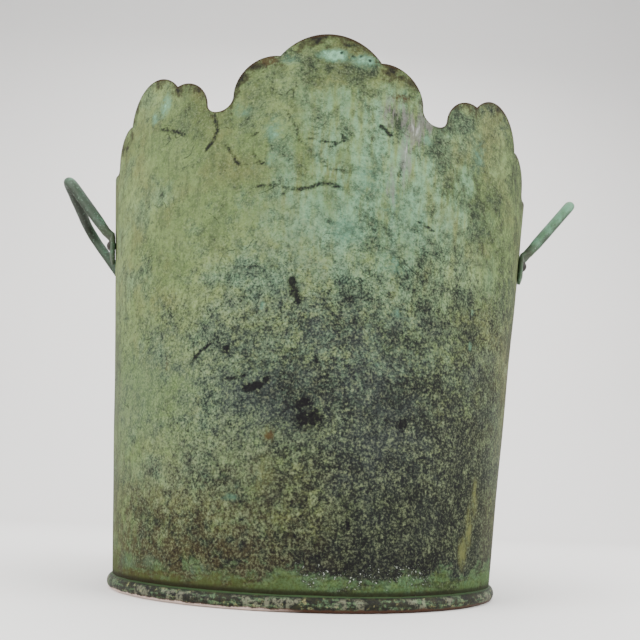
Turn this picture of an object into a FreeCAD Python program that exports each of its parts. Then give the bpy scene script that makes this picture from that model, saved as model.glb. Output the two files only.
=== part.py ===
import FreeCAD, Part
import math
import os
import Sketcher

# Oval copper bucket with a scalloped rim, a rolled foot and two riveted end handles.
# Millimetres, +Z up, the front faces -Y, the handles stand at -X and +X.
# The origin is the centre of the foot on the surface that the bucket stands on.

Vector = FreeCAD.Vector
Rotation = FreeCAD.Rotation
Placement = FreeCAD.Placement

AXIS_X = Vector(1, 0, 0)
AXIS_Z = Vector(0, 0, 1)

# Driving sizes

SIZES = {
    # Oval wall, measured outside
    "foot_half_length": 85,
    "foot_half_width": 66,
    "rim_half_length": 115,
    "rim_half_width": 92,
    "wall_height": 190,
    "sheet": 1.0,
    "trim": 3,
    # Lap seams at the two ends
    "lap_half": 6,
    "joggle": 4,
    "seam_gap": 0.3,
    "lap_foot_gap": 1.2,
    # Rolled foot bead and its wire
    "bead_radius": 3.0,
    "bead_proud": 2.3,
    "bead_sheet": 0.7,
    "worn_flat": 0.25,
    "fit_gap": 0.1,
    # Bottom pan and its solder
    "pan_sheet": 1.0,
    "pan_flange": 9,
    "solder_rise": 1.6,
    # Places of the valleys round the rim, as eccentric angles from the front
    "front_valley_angle": 26.2,
    "end_valley_angle": 66.6,
    # Large crowns at front and back
    "front_lobe_half": 22.2,
    "front_peak": 34.5,
    "front_shoulder_radius": 16.8,
    "front_shoulder_rise": 6.8,
    "front_valley_radius": 6.0,
    "front_valley_floor": 3.1,
    # Small crowns at the four quarters
    "side_lobe_half": 17,
    "side_peak": 26.5,
    "side_shoulder_radius": 13.2,
    "side_shoulder_rise": 5.5,
    "side_far_shoulder_drop": 6.5,
    "side_valley_radius": 2.2,
    "side_valley_floor": 0.7,
    # Low lobes above the handles
    "end_drop": 4.5,
    "end_lobe_rise": 8,
    # Handles
    "handle_half_span": 26,
    "handle_lean_angle": 40,
    "left_leg_length": 44,
    "right_leg_length": 47,
    "rod_radius": 2.8,
    "grip_bend_radius": 11,
    "handle_rivet_share": 0.801,
    "left_front_drop": 2,
    "left_rear_drop": 17,
    "tab_width": 9,
    "tab_thickness": 2.4,
    "tab_above_rivet": 4.5,
    "tab_below_rivet": 10,
    "tab_tip_radius": 5.2,
    "neck_rise": 6.2,
    "neck_stand": 3.4,
    # Handle rivets and their washers
    "rivet_radius": 1.6,
    "rivet_head_radius": 2.7,
    "rivet_head_rise": 1.5,
    "rivet_tail_radius": 2.3,
    "rivet_tail_rise": 1.0,
    "washer_radius": 3.4,
    "washer_thickness": 0.8,
    # Seam rivets
    "seam_rivet_count": 3,
    "seam_rivet_low_share": 0.17,
    "seam_rivet_pitch_share": 0.263,
    "seam_rivet_radius": 1.2,
    "seam_head_radius": 2.4,
    "seam_head_rise": 0.9,
    "seam_tail_radius": 1.9,
    "seam_tail_rise": 0.7,
    # How far a cutting body runs past what it cuts
    "overrun": 1.0,
    "valley_overlap": 0.5,
}

doc = FreeCAD.newDocument("CopperBucket")
sheet = doc.addObject("Spreadsheet::Sheet", "Sizes")
for row, (alias, number) in enumerate(SIZES.items(), start=1):
    sheet.set(f"A{row}", alias)
    sheet.set(f"B{row}", str(number))
    sheet.setAlias(f"B{row}", alias)
doc.recompute()


def formula(text):
    """A formula in sheet names, such as '{sheet} * 2', as an expression that any object can hold."""
    names = {alias: f"Sizes.{alias}" for alias in SIZES}
    return text.format(**names)


def value(text):
    """The number that such a formula gives now."""
    result = sheet.evalExpression(formula(text))
    return float(getattr(result, "Value", result))


def bind(item, path, text):
    """Tie one property of a document object to a formula."""
    item.setExpression(path, formula(text))


# Formulas that several pieces share

BEAD_CENTRE = "({bead_radius} - {worn_flat})"
BEAD_TOP = f"({BEAD_CENTRE} + {{bead_radius}})"
WIRE_RADIUS = "({bead_radius} - {bead_sheet} - {fit_gap})"
WALL_IN_BEAD = "({bead_radius} - {bead_proud})"
WALL_FOOT = f"({BEAD_CENTRE} + {WIRE_RADIUS} + {{fit_gap}})"
VALLEY = f"({BEAD_TOP} + {{wall_height}})"
WALL_TOP = f"({VALLEY} + {{front_peak}} + {{trim}})"
CUT_TOP = f"({WALL_TOP} + {{overrun}})"
LENGTH_FLARE = "(({rim_half_length} - {foot_half_length}) / {wall_height})"
WIDTH_FLARE = "(({rim_half_width} - {foot_half_width}) / {wall_height})"
LAP_FACE = "({fit_gap} + {sheet})"
PAN_INSET = "({sheet} + {fit_gap})"
PAN_TOP = f"({BEAD_TOP} + {{pan_flange}})"
CUT_REACH = "({rim_half_length} + {front_peak})"


# Building blocks

def sketch(label, placement=Placement()):
    item = doc.addObject("Sketcher::SketchObject", label)
    item.Placement = placement
    return item


def pin_point(item, edge, end, x_text, y_text):
    """Hold one end of an edge of a sketch at two formulas."""
    for kind, text in (("DistanceX", x_text), ("DistanceY", y_text)):
        index = item.addConstraint(Sketcher.Constraint(kind, -1, 1, edge, end, value(text)))
        bind(item, f"Constraints[{index}]", text)


def arc_between(start, finish, radius, side):
    """The short arc between two points, and whether it starts at the first of them.

    side is 1 where the centre lies left of the way from start to finish, and -1 where it lies right.
    """
    chord = finish - start
    middle = (start + finish) / 2
    stand = math.sqrt(max(radius ** 2 - (chord.Length / 2) ** 2, 0))
    left = Vector(-chord.y, chord.x, 0).normalize()
    centre = middle + left * stand * side
    first, last = (start, finish) if side > 0 else (finish, start)
    angles = [math.atan2(point.y - centre.y, point.x - centre.x) for point in (first, last)]
    if angles[1] < angles[0]:
        angles[1] += 2 * math.pi
    return Part.ArcOfCircle(Part.Circle(centre, AXIS_Z, radius), *angles), side > 0


def outline(item, corners, arcs=None):
    """Draw a closed outline in a sketch.

    corners are pairs of formulas. arcs gives, for the edge that leaves a corner, its radius formula and side.
    """
    arcs = arcs or {}
    points = [Vector(value(x_text), value(y_text), 0) for x_text, y_text in corners]
    ends = []
    for index, start in enumerate(points):
        finish = points[(index + 1) % len(points)]
        if index in arcs:
            radius_text, side = arcs[index]
            edge, forward = arc_between(start, finish, value(radius_text), side)
        else:
            edge, forward = Part.LineSegment(start, finish), True
        item.addGeometry(edge)
        ends.append((1, 2) if forward else (2, 1))
    for index, (x_text, y_text) in enumerate(corners):
        before = index - 1 if index else len(corners) - 1
        item.addConstraint(Sketcher.Constraint("Coincident", before, ends[before][1], index, ends[index][0]))
        pin_point(item, index, ends[index][0], x_text, y_text)
    for index, (radius_text, side) in arcs.items():
        constraint = item.addConstraint(Sketcher.Constraint("Radius", index, value(radius_text)))
        bind(item, f"Constraints[{constraint}]", radius_text)
    return item


def ellipse_in(item, half_length_text, half_width_text):
    """Draw an ellipse round the sketch's origin, its long axis along the sketch's x."""
    long_end = Vector(value(half_length_text), 0, 0)
    short_end = Vector(0, value(half_width_text), 0)
    item.addGeometry(Part.Ellipse(long_end, short_end, Vector()))
    item.exposeInternalGeometry(0)
    item.addConstraint(Sketcher.Constraint("Coincident", 0, 3, -1, 1))
    item.addConstraint(Sketcher.Constraint("PointOnObject", 1, 1, -1))
    for axis, text in ((1, half_length_text), (2, half_width_text)):
        index = item.addConstraint(Sketcher.Constraint("Distance", axis, 2 * value(text)))
        bind(item, f"Constraints[{index}]", f"2 * ({text})")
    return item


def circle_in(item, radius_text):
    item.addGeometry(Part.Circle(Vector(), AXIS_Z, value(radius_text)))
    item.addConstraint(Sketcher.Constraint("Coincident", 0, 3, -1, 1))
    index = item.addConstraint(Sketcher.Constraint("Radius", 0, value(radius_text)))
    bind(item, f"Constraints[{index}]", radius_text)
    return item


def half_axes(height_text, offset_text):
    """The two half axes of the flared oval at a height, offset outward from the wall's outer face."""
    above = f"({height_text} - {BEAD_TOP})"
    half_length = f"({{foot_half_length}} + {LENGTH_FLARE} * {above} + {offset_text})"
    half_width = f"({{foot_half_width}} + {WIDTH_FLARE} * {above} + {offset_text})"
    return half_length, half_width


def oval(label, height_text, offset_text):
    """The wall's oval at a height, as two arcs that meet below two of the rim's valleys."""
    half_length_text, half_width_text = half_axes(height_text, offset_text)
    half_length, half_width = value(half_length_text), value(half_width_text)
    meet_text = f"{half_length_text} * sin({{front_valley_angle}})"
    meet = math.radians(value("{front_valley_angle}") - 90)
    item = sketch(label)
    ellipse = Part.Ellipse(Vector(half_length, 0, 0), Vector(0, half_width, 0), Vector())
    item.addGeometry(Part.ArcOfEllipse(ellipse, meet, meet + math.pi))
    item.addGeometry(Part.ArcOfEllipse(ellipse, meet + math.pi, meet + 2 * math.pi))
    for arc, sign in ((0, ""), (1, "-")):
        first_axis = item.GeometryCount
        item.exposeInternalGeometry(arc)
        item.addConstraint(Sketcher.Constraint("Coincident", arc, 3, -1, 1))
        item.addConstraint(Sketcher.Constraint("PointOnObject", first_axis, 1, -1))
        for axis, text in ((first_axis, half_length_text), (first_axis + 1, half_width_text)):
            index = item.addConstraint(Sketcher.Constraint("Distance", axis, 2 * value(text)))
            bind(item, f"Constraints[{index}]", f"2 * ({text})")
        for end, end_sign in ((1, sign), (2, "" if sign else "-")):
            text = f"{end_sign}({meet_text})"
            index = item.addConstraint(Sketcher.Constraint("DistanceX", -1, 1, arc, end, value(text)))
            bind(item, f"Constraints[{index}]", text)
    bind(item, "Placement.Base.z", height_text)
    return item


def flared_solid(label, low_text, high_text, offset_text):
    """A solid that fills the flared oval between two heights."""
    item = doc.addObject("Part::Loft", label)
    item.Sections = [
        oval(f"{label}_low", low_text, offset_text),
        oval(f"{label}_high", high_text, offset_text),
    ]
    item.Solid = True
    return item


def cut(label, base, tool):
    item = doc.addObject("Part::Cut", label)
    item.Base = base
    item.Tool = tool
    return item


def fuse(label, items):
    item = doc.addObject("Part::MultiFuse", label)
    item.Shapes = items
    return item


def common(label, items):
    item = doc.addObject("Part::MultiCommon", label)
    item.Shapes = items
    return item


def group(label, items):
    """Separate solids that share one node."""
    item = doc.addObject("Part::Compound", label)
    item.Links = items
    return item


def flared_shell(label, low_text, high_text, outer_text, inner_text):
    """A flared oval tube with open ends, between two offsets from the wall's outer face."""
    outer = flared_solid(f"{label}_outside", low_text, high_text, outer_text)
    below = f"({low_text} - {{overrun}})"
    above = f"({high_text} + {{overrun}})"
    inner = flared_solid(f"{label}_inside", below, above, inner_text)
    return cut(label, outer, inner)


def slab(label, near_text, far_text):
    """A block that spans the whole bucket in X and Z, and two formulas in Y."""
    item = doc.addObject("Part::Box", label)
    bind(item, "Length", f"2 * {CUT_REACH}")
    bind(item, "Width", f"{far_text} - {near_text}")
    bind(item, "Height", CUT_TOP)
    bind(item, "Placement.Base.x", f"-{CUT_REACH}")
    bind(item, "Placement.Base.y", near_text)
    return item


def mirrored(label, source, normal):
    item = doc.addObject("Part::Mirroring", label)
    item.Source = source
    item.Normal = normal
    return item


def pin_hole(label, frame, radius_text, low_text, high_text):
    """A cylinder along the z axis of a frame, from one height over the wall to another."""
    item = doc.addObject("Part::Cylinder", label)
    bind(item, "Radius", radius_text)
    bind(item, "Height", f"{high_text} - {low_text}")
    item.Placement = frame * Placement(Vector(0, 0, value(low_text)), Rotation())
    return item


def wall_frame(side, y, height_text):
    """A frame on the wall's outer face: z points out of the wall, y climbs it, x runs level along it.

    side is -1 on the left of the bucket and 1 on the right.
    """
    height = value(height_text)
    long_half, wide_half = (value(text) for text in half_axes(height_text, "0"))
    x = side * long_half * math.sqrt(1 - (y / wide_half) ** 2)
    lean = -(x ** 2 * value(LENGTH_FLARE) / long_half ** 3 + y ** 2 * value(WIDTH_FLARE) / wide_half ** 3)
    normal = Vector(x / long_half ** 2, y / wide_half ** 2, lean).normalize()
    climb = (AXIS_Z - normal * normal.z).normalize()
    return Placement(Vector(x, y, height), Rotation(climb.cross(normal), climb, normal, "ZYX"))


# Rim: one cutting body over each crown, drawn square to the wall at the crown's middle

def rim_plane(turn):
    """A vertical plane through the origin whose normal points turn degrees from the front towards +X."""
    return Placement(Vector(), Rotation(AXIS_Z, turn) * Rotation(AXIS_X, 90))


def rim_cutter(label, turn, corners, arcs):
    item = doc.addObject("Part::Extrusion", f"{label}_cutter")
    item.Base = outline(sketch(f"{label}_outline", rim_plane(turn)), corners, arcs)
    item.DirMode = "Normal"
    item.Solid = True
    bind(item, "LengthFwd", CUT_REACH)
    return item


def three_lobed_crown(label, turn, kind, edges, floors, leans, shoulder_heights):
    """The space above a crown: a middle lobe between two shoulders that drop into the valleys."""
    lobe_half = f"{{{kind}_lobe_half}}"
    peak = f"({VALLEY} + {{{kind}_peak}})"
    shoulder_radius = f"{{{kind}_shoulder_radius}}"
    valley_radius = f"{{{kind}_valley_radius}}"
    valley_floor = f"{{{kind}_valley_floor}}"
    left_edge, right_edge = edges
    middle = f"(({left_edge} + {right_edge}) / 2)"
    left_foot = f"({left_edge} + {valley_floor})"
    right_foot = f"({right_edge} - {valley_floor})"
    left_wall = f"({left_foot} + {valley_radius})"
    right_wall = f"({right_foot} - {valley_radius})"
    left_notch = f"({middle} - {lobe_half})"
    right_notch = f"({middle} + {lobe_half})"
    left_run = f"({left_wall} + {shoulder_radius} - {left_notch})"
    right_run = f"({right_notch} - {right_wall} + {shoulder_radius})"
    left_top = f"({shoulder_heights[0]} + sqrt({shoulder_radius} ^ 2 - {left_run} ^ 2))"
    right_top = f"({shoulder_heights[1]} + sqrt({shoulder_radius} ^ 2 - {right_run} ^ 2))"
    lobe_rise = f"({peak} - ({left_top} + {right_top}) / 2)"
    lobe_radius = f"(({lobe_half} ^ 2 + {lobe_rise} ^ 2) / (2 * {lobe_rise}))"
    left_side = f"({left_edge} - {{valley_overlap}})"
    right_side = f"({right_edge} + {{valley_overlap}})"
    corners = [
        (left_side, floors[0]),
        (left_foot, floors[0]),
        (left_wall, f"({floors[0]} + {valley_radius})"),
        (left_wall, shoulder_heights[0]),
        (left_notch, left_top),
        (right_notch, right_top),
        (right_wall, shoulder_heights[1]),
        (right_wall, f"({floors[1]} + {valley_radius})"),
        (right_foot, floors[1]),
        (right_side, floors[1]),
        (f"({right_side} + {leans[1]} * ({CUT_TOP} - {floors[1]}))", CUT_TOP),
        (f"({left_side} + {leans[0]} * ({CUT_TOP} - {floors[0]}))", CUT_TOP),
    ]
    arcs = {
        1: (valley_radius, 1),
        3: (shoulder_radius, -1),
        4: (lobe_radius, -1),
        5: (shoulder_radius, -1),
        7: (valley_radius, 1),
    }
    return rim_cutter(label, turn, corners, arcs)


def across_front(angle_text, long_text, wide_text, turn_text):
    """How far along a turned rim plane a point of the oval lies, from its eccentric angle and half axes."""
    along = f"{long_text} * sin({angle_text}) * cos({turn_text})"
    return f"({along} - {wide_text} * cos({angle_text}) * sin({turn_text}))"


FRONT_ANGLE = "{front_valley_angle}"
END_ANGLE = "{end_valley_angle}"
SIDE_MIDDLE = f"(({FRONT_ANGLE} + {END_ANGLE}) / 2)"
SIDE_TURN = f"(atan(tan({SIDE_MIDDLE}) * {{rim_half_width}} / {{rim_half_length}}))"
END_FLOOR = f"({VALLEY} - {{end_drop}})"

front_edge = f"({{rim_half_length}} * sin({FRONT_ANGLE}))"
front_lean = f"({LENGTH_FLARE} * sin({FRONT_ANGLE}))"
front_shoulder = f"({VALLEY} + {{front_shoulder_rise}})"
front_cutter = three_lobed_crown(
    "front_crown", 0, "front",
    edges=(f"(-{front_edge})", front_edge),
    floors=(VALLEY, VALLEY),
    leans=(f"(-{front_lean})", front_lean),
    shoulder_heights=(front_shoulder, front_shoulder),
)

rim_halves = ("{rim_half_length}", "{rim_half_width}")
flares = (LENGTH_FLARE, WIDTH_FLARE)
side_shoulder = f"({VALLEY} + {{side_shoulder_rise}})"
side_cutter = three_lobed_crown(
    "right_front_crown", value(SIDE_TURN), "side",
    edges=tuple(across_front(angle, *rim_halves, SIDE_TURN) for angle in (FRONT_ANGLE, END_ANGLE)),
    floors=(VALLEY, END_FLOOR),
    leans=tuple(across_front(angle, *flares, SIDE_TURN) for angle in (FRONT_ANGLE, END_ANGLE)),
    shoulder_heights=(side_shoulder, f"({side_shoulder} - {{side_far_shoulder_drop}})"),
)

end_edge = f"({{rim_half_width}} * cos({END_ANGLE}))"
end_foot = f"({end_edge} - {{side_valley_floor}})"
end_side = f"({end_edge} + {{valley_overlap}})"
end_top_side = f"({end_side} + {WIDTH_FLARE} * cos({END_ANGLE}) * ({CUT_TOP} - {END_FLOOR}))"
end_radius = f"(({end_foot} ^ 2 + {{end_lobe_rise}} ^ 2) / (2 * {{end_lobe_rise}}))"
end_corners = [
    (f"(-{end_side})", END_FLOOR),
    (f"(-{end_foot})", END_FLOOR),
    (end_foot, END_FLOOR),
    (end_side, END_FLOOR),
    (end_top_side, CUT_TOP),
    (f"(-{end_top_side})", CUT_TOP),
]
end_cutter = rim_cutter("right_end_lobe", 90, end_corners, {1: (end_radius, -1)})

left_side_cutter = mirrored("left_front_crown_cutter", side_cutter, Vector(1, 0, 0))
left_end_cutter = mirrored("left_end_lobe_cutter", end_cutter, Vector(1, 0, 0))
front_rim = fuse("front_rim_cutter", [front_cutter, side_cutter, left_side_cutter, end_cutter, left_end_cutter])
back_rim = mirrored("back_rim_cutter", front_rim, Vector(0, 1, 0))


# Places of the handle feet and of the seam rivets

SIDES = {"left": -1, "right": 1}
HALF_SPAN = value("{handle_half_span}")
PLACES = {"front": -1, "rear": 1}
HANDLE_RIVET_HEIGHT = f"({BEAD_TOP} + {{handle_rivet_share}} * {{wall_height}})"
SEAM_RIVET_LOW = f"({BEAD_TOP} + {{seam_rivet_low_share}} * {{wall_height}})"
SEAM_RIVET_PITCH = "({seam_rivet_pitch_share} * {wall_height})"
DROPS = {"left": {"front": "{left_front_drop}", "rear": "{left_rear_drop}"}, "right": {"front": "0", "rear": "0"}}

foot_frames = {
    name: {
        place: wall_frame(side, depth * HALF_SPAN, f"({HANDLE_RIVET_HEIGHT} - {DROPS[name][place]})")
        for place, depth in PLACES.items()
    }
    for name, side in SIDES.items()
}
seam_frames = {
    name: [
        wall_frame(side, 0, f"({SEAM_RIVET_LOW} + {step} * {SEAM_RIVET_PITCH})")
        for step in range(int(value("{seam_rivet_count}")))
    ]
    for name, side in SIDES.items()
}


def rivet_holes(place, label, reach=("(-{sheet} - {overrun})", f"({LAP_FACE} + {{overrun}})")):
    """The holes for the rivets that pass one wall sheet: one foot of each handle, and both seams."""
    foot_radius = "({rivet_radius} + {fit_gap})"
    seam_radius = "({seam_rivet_radius} + {fit_gap})"
    holes = []
    for name in SIDES:
        holes.append(pin_hole(f"{label}_{name}_foot_hole", foot_frames[name][place], foot_radius, *reach))
        for step, frame in enumerate(seam_frames[name], start=1):
            holes.append(pin_hole(f"{label}_{name}_seam_hole_{step}", frame, seam_radius, *reach))
    return holes


# Front and back sheets of the wall

JOGGLE_START = "({lap_half} + {seam_gap})"
JOGGLE_END = f"({JOGGLE_START} + {{joggle}})"
LAP_FOOT = f"({BEAD_TOP} + {{lap_foot_gap}})"

plain_shell = flared_shell("plain_shell", WALL_FOOT, WALL_TOP, "0", "(-{sheet})")
lap_shell = flared_shell("lap_shell", LAP_FOOT, WALL_TOP, LAP_FACE, "{fit_gap}")
joggle_shell = flared_shell("joggle_shell", LAP_FOOT, WALL_TOP, LAP_FACE, "(-{sheet})")

front_sheet = common("front_sheet", [plain_shell, slab("front_space", f"(-{CUT_REACH})", "{lap_half}")])
front_wall = cut("front_wall", front_sheet, fuse("front_cuts", [front_rim] + rivet_holes("front", "front_wall")))

back_sheet = fuse("back_sheet", [
    common("back_plain", [plain_shell, slab("back_space", JOGGLE_START, CUT_REACH)]),
    common("back_laps", [lap_shell, slab("lap_space", "(-{lap_half})", JOGGLE_END)]),
    common("back_joggles", [joggle_shell, slab("joggle_space", JOGGLE_START, JOGGLE_END)]),
])
back_cuts = fuse("back_cuts", [front_rim, back_rim] + rivet_holes("rear", "back_wall"))
back_wall = cut("back_wall", back_sheet, back_cuts)


# Rolled foot: rings swept round the oval

def swept_ring(label, height_text, offset_text, corners=None, arcs=None, radius_text=None):
    """A ring of constant section swept round the oval at one height.

    The section is an outline about the sweep's own line, or a circle of one radius.
    """
    body = doc.addObject("PartDesign::Body", label)
    planes = {plane.Role: plane for plane in body.Origin.OriginFeatures}
    half_length, half_width = half_axes(height_text, offset_text)
    path = body.newObject("Sketcher::SketchObject", f"{label}_path")
    path.AttachmentSupport = [(planes["XY_Plane"], "")]
    path.MapMode = "FlatFace"
    bind(path, "AttachmentOffset.Base.z", height_text)
    ellipse_in(path, half_length, half_width)
    section = body.newObject("Sketcher::SketchObject", f"{label}_section")
    section.AttachmentSupport = [(planes["XZ_Plane"], "")]
    section.MapMode = "FlatFace"
    bind(section, "AttachmentOffset.Base.x", half_length)
    bind(section, "AttachmentOffset.Base.y", height_text)
    if radius_text:
        circle_in(section, radius_text)
    else:
        outline(section, corners, arcs)
    doc.recompute()
    pipe = body.newObject("PartDesign::AdditivePipe", f"{label}_sweep")
    pipe.Profile = section
    pipe.Spine = (path, ["Edge1"])
    return body


def on_circle(x_text, radius_text):
    return f"sqrt({radius_text} ^ 2 - ({x_text}) ^ 2)"


BORE_RADIUS = "({bead_radius} - {bead_sheet})"
OUTER_LIP = f"({WALL_IN_BEAD} + {{fit_gap}})"
INNER_LIP = f"({WALL_IN_BEAD} - {{sheet}} - {{fit_gap}})"
bead_corners = [
    (OUTER_LIP, on_circle(OUTER_LIP, "{bead_radius}")),
    ("0", "(-{bead_radius})"),
    (INNER_LIP, on_circle(INNER_LIP, "{bead_radius}")),
    (INNER_LIP, on_circle(INNER_LIP, BORE_RADIUS)),
    ("0", f"(-{BORE_RADIUS})"),
    (OUTER_LIP, on_circle(OUTER_LIP, BORE_RADIUS)),
]
bead_arcs = {
    0: ("{bead_radius}", -1),
    1: ("{bead_radius}", -1),
    3: (BORE_RADIUS, 1),
    4: (BORE_RADIUS, 1),
}
bead_ring = swept_ring("bead_ring", BEAD_CENTRE, f"(-{WALL_IN_BEAD})", bead_corners, bead_arcs)
worn_away = doc.addObject("Part::Box", "worn_away")
bind(worn_away, "Length", "2 * ({foot_half_length} + {bead_radius})")
bind(worn_away, "Width", "2 * ({foot_half_width} + {bead_radius})")
bind(worn_away, "Height", "{worn_flat} + {overrun}")
bind(worn_away, "Placement.Base.x", "-({foot_half_length} + {bead_radius})")
bind(worn_away, "Placement.Base.y", "-({foot_half_width} + {bead_radius})")
bind(worn_away, "Placement.Base.z", "-({worn_flat} + {overrun})")
foot_bead = cut("foot_bead", bead_ring, worn_away)
foot_wire = swept_ring("foot_wire", BEAD_CENTRE, f"(-{WALL_IN_BEAD})", radius_text=WIRE_RADIUS)


# Bottom pan and the solder above its flange

pan_outside = flared_solid("pan_outside", BEAD_TOP, PAN_TOP, f"(-{PAN_INSET})")
pan_inside = flared_solid(
    "pan_inside", f"({BEAD_TOP} + {{pan_sheet}})", f"({PAN_TOP} + {{overrun}})", f"(-{PAN_INSET} - {{pan_sheet}})"
)
bottom_pan = cut("bottom_pan", pan_outside, pan_inside)

solder_corners = [
    ("0", "0"),
    (f"({LENGTH_FLARE} * {{solder_rise}})", "{solder_rise}"),
    ("(-{pan_sheet})", "0"),
]
pan_solder = swept_ring("pan_solder", PAN_TOP, f"(-{PAN_INSET})", solder_corners)


# Handles: one bent rod each, its ends hammered into flat feet

def leg_direction(side):
    lean = math.radians(value("{handle_lean_angle}"))
    return Vector(side * math.sin(lean), 0, math.cos(lean))


def foot_tab(label, frame):
    """The flat foot on the wall, rounded at its lower end."""
    half = "({tab_width} / 2)"
    tip_drop = f"({{tab_tip_radius}} - sqrt({{tab_tip_radius}} ^ 2 - {half} ^ 2))"
    low = f"({tip_drop} - {{tab_below_rivet}})"
    corners = [
        (f"(-{half})", "{tab_above_rivet}"),
        (f"(-{half})", low),
        (half, low),
        (half, "{tab_above_rivet}"),
    ]
    shifted = frame * Placement(Vector(0, 0, value("{fit_gap}")), Rotation())
    item = doc.addObject("Part::Extrusion", label)
    item.Base = outline(sketch(f"{label}_outline", shifted), corners, {1: ("{tab_tip_radius}", 1)})
    item.DirMode = "Normal"
    item.Solid = True
    bind(item, "LengthFwd", "{tab_thickness}")
    return item


def four_cornered(label, placement, across_text, through_text, arcs=None):
    """A section with a corner in each quarter, its sides straight or bulging between them."""
    corners = [
        (across_text, through_text),
        (f"(-{across_text})", through_text),
        (f"(-{across_text})", f"(-{through_text})"),
        (across_text, f"(-{through_text})"),
    ]
    return outline(sketch(label, placement), corners, arcs)


def foot_neck(label, frame, leg_start):
    """The hammered run from the flat foot into the round rod."""
    middle = Vector(0, value("{tab_above_rivet} - {tab_thickness} / 2"), value("{fit_gap} + {tab_thickness} / 2"))
    flat_place = frame * Placement(middle, Rotation(AXIS_X, -90))
    flat_halves = ("({tab_width} / 2 - {fit_gap})", "({tab_thickness} / 2 - {fit_gap})")
    low = four_cornered(f"{label}_low", flat_place, *flat_halves)
    corner = "({rod_radius} / sqrt(2))"
    sides = {edge: ("{rod_radius}", 1) for edge in range(low.GeometryCount)}
    high = four_cornered(f"{label}_high", leg_start, corner, corner, sides)
    item = doc.addObject("Part::Loft", label)
    item.Sections = [low, high]
    item.Solid = True
    return item


def handle(name):
    side = SIDES[name]
    direction = leg_direction(side)
    frames = foot_frames[name]
    rise = Vector(0, value("{neck_rise}"), value("{neck_stand}"))
    starts = {place: frame.multVec(rise) for place, frame in frames.items()}
    reach = starts["rear"] - starts["front"]
    along = reach - direction * reach.dot(direction)
    span = along.Length
    rear_start = reach.dot(direction)
    across = along.normalize()
    loop = Placement(starts["front"], Rotation(across, direction, across.cross(direction), "ZXY"))
    turned = Rotation(AXIS_X, -90)

    path = sketch(f"{name}_handle_path", loop)
    length = value(f"{{{name}_leg_length}}")
    bend = value("{grip_bend_radius}")
    points = [
        Vector(0, 0, 0),
        Vector(0, length - bend, 0),
        Vector(bend, length, 0),
        Vector(span - bend, length, 0),
        Vector(span, length - bend, 0),
        Vector(span, rear_start, 0),
    ]
    edges = [
        Part.LineSegment(points[0], points[1]),
        arc_between(points[1], points[2], bend, -1)[0],
        Part.LineSegment(points[2], points[3]),
        arc_between(points[3], points[4], bend, -1)[0],
        Part.LineSegment(points[4], points[5]),
    ]
    path.addGeometry(edges)
    rod = doc.addObject("Part::Sweep", f"{name}_handle_rod")
    rod_section = sketch(f"{name}_handle_section", loop * Placement(Vector(), turned))
    rod.Sections = [circle_in(rod_section, "{rod_radius}")]
    rod.Spine = (path, [f"Edge{number}" for number in range(1, len(edges) + 1)])
    rod.Solid = True

    pieces = [rod]
    holes = []
    for place, frame in frames.items():
        label = f"{name}_handle_{place}"
        level = frame.Rotation.multVec(AXIS_X)
        level = (level - direction * level.dot(direction)).normalize()
        leg_start = Placement(starts[place], Rotation(level, direction.cross(level), direction, "ZXY"))
        pieces.append(foot_tab(f"{label}_tab", frame))
        pieces.append(foot_neck(f"{label}_neck", frame, leg_start))
        reach_texts = ("(-{sheet})", "({tab_thickness} + {overrun})")
        holes.append(pin_hole(f"{label}_hole", frame, "({rivet_radius} + {fit_gap})", *reach_texts))
    return cut(f"{name}_handle", fuse(f"{name}_handle_blank", pieces), fuse(f"{name}_handle_holes", holes))


left_handle = handle("left")
right_handle = handle("right")


# Rivets and washers

def rivet(label, frame, shank_text, head_texts, tail_texts, grip_texts):
    """A rivet: a shank with a domed head outside and a smaller dome hammered up inside.

    head_texts and tail_texts are a dome's radius and rise, grip_texts the faces that the domes bear on.
    """
    body = doc.addObject("PartDesign::Body", label)
    planes = {plane.Role: plane for plane in body.Origin.OriginFeatures}
    profile = body.newObject("Sketcher::SketchObject", f"{label}_profile")
    profile.AttachmentSupport = [(planes["XZ_Plane"], "")]
    profile.MapMode = "FlatFace"
    (head_radius, head_rise), (tail_radius, tail_rise) = head_texts, tail_texts
    inner_face, outer_face = grip_texts
    corners = [
        ("0", f"({inner_face} - {tail_rise})"),
        (tail_radius, inner_face),
        (shank_text, inner_face),
        (shank_text, outer_face),
        (head_radius, outer_face),
        ("0", f"({outer_face} + {head_rise})"),
    ]
    tail_arc = f"(({tail_radius} ^ 2 + {tail_rise} ^ 2) / (2 * {tail_rise}))"
    head_arc = f"(({head_radius} ^ 2 + {head_rise} ^ 2) / (2 * {head_rise}))"
    outline(profile, corners, {0: (tail_arc, 1), 4: (head_arc, 1)})
    doc.recompute()
    turned = body.newObject("PartDesign::Revolution", f"{label}_turned")
    turned.Profile = profile
    turned.ReferenceAxis = (profile, ["V_Axis"])
    turned.Angle = 360
    body.Placement = frame
    return body


def washer(label, frame, face_text):
    """A flat burr under the inside dome of a handle rivet."""
    back_text = f"({face_text} - {{washer_thickness}})"
    disc = pin_hole(f"{label}_disc", frame, "{washer_radius}", back_text, face_text)
    bore_reach = (f"({back_text} - {{overrun}})", f"({face_text} + {{overrun}})")
    bore = pin_hole(f"{label}_bore", frame, "({rivet_radius} + {fit_gap})", *bore_reach)
    return cut(label, disc, bore)


HANDLE_HEAD = ("{rivet_head_radius}", "{rivet_head_rise}")
HANDLE_TAIL = ("{rivet_tail_radius}", "{rivet_tail_rise}")
SEAM_HEAD = ("{seam_head_radius}", "{seam_head_rise}")
SEAM_TAIL = ("{seam_tail_radius}", "{seam_tail_rise}")
WASHER_FACE = "(-{sheet} - {fit_gap})"
HANDLE_GRIP = (f"({WASHER_FACE} - {{washer_thickness}})", "({fit_gap} + {tab_thickness})")
SEAM_GRIP = (WASHER_FACE, f"({LAP_FACE} + {{fit_gap}})")

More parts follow.
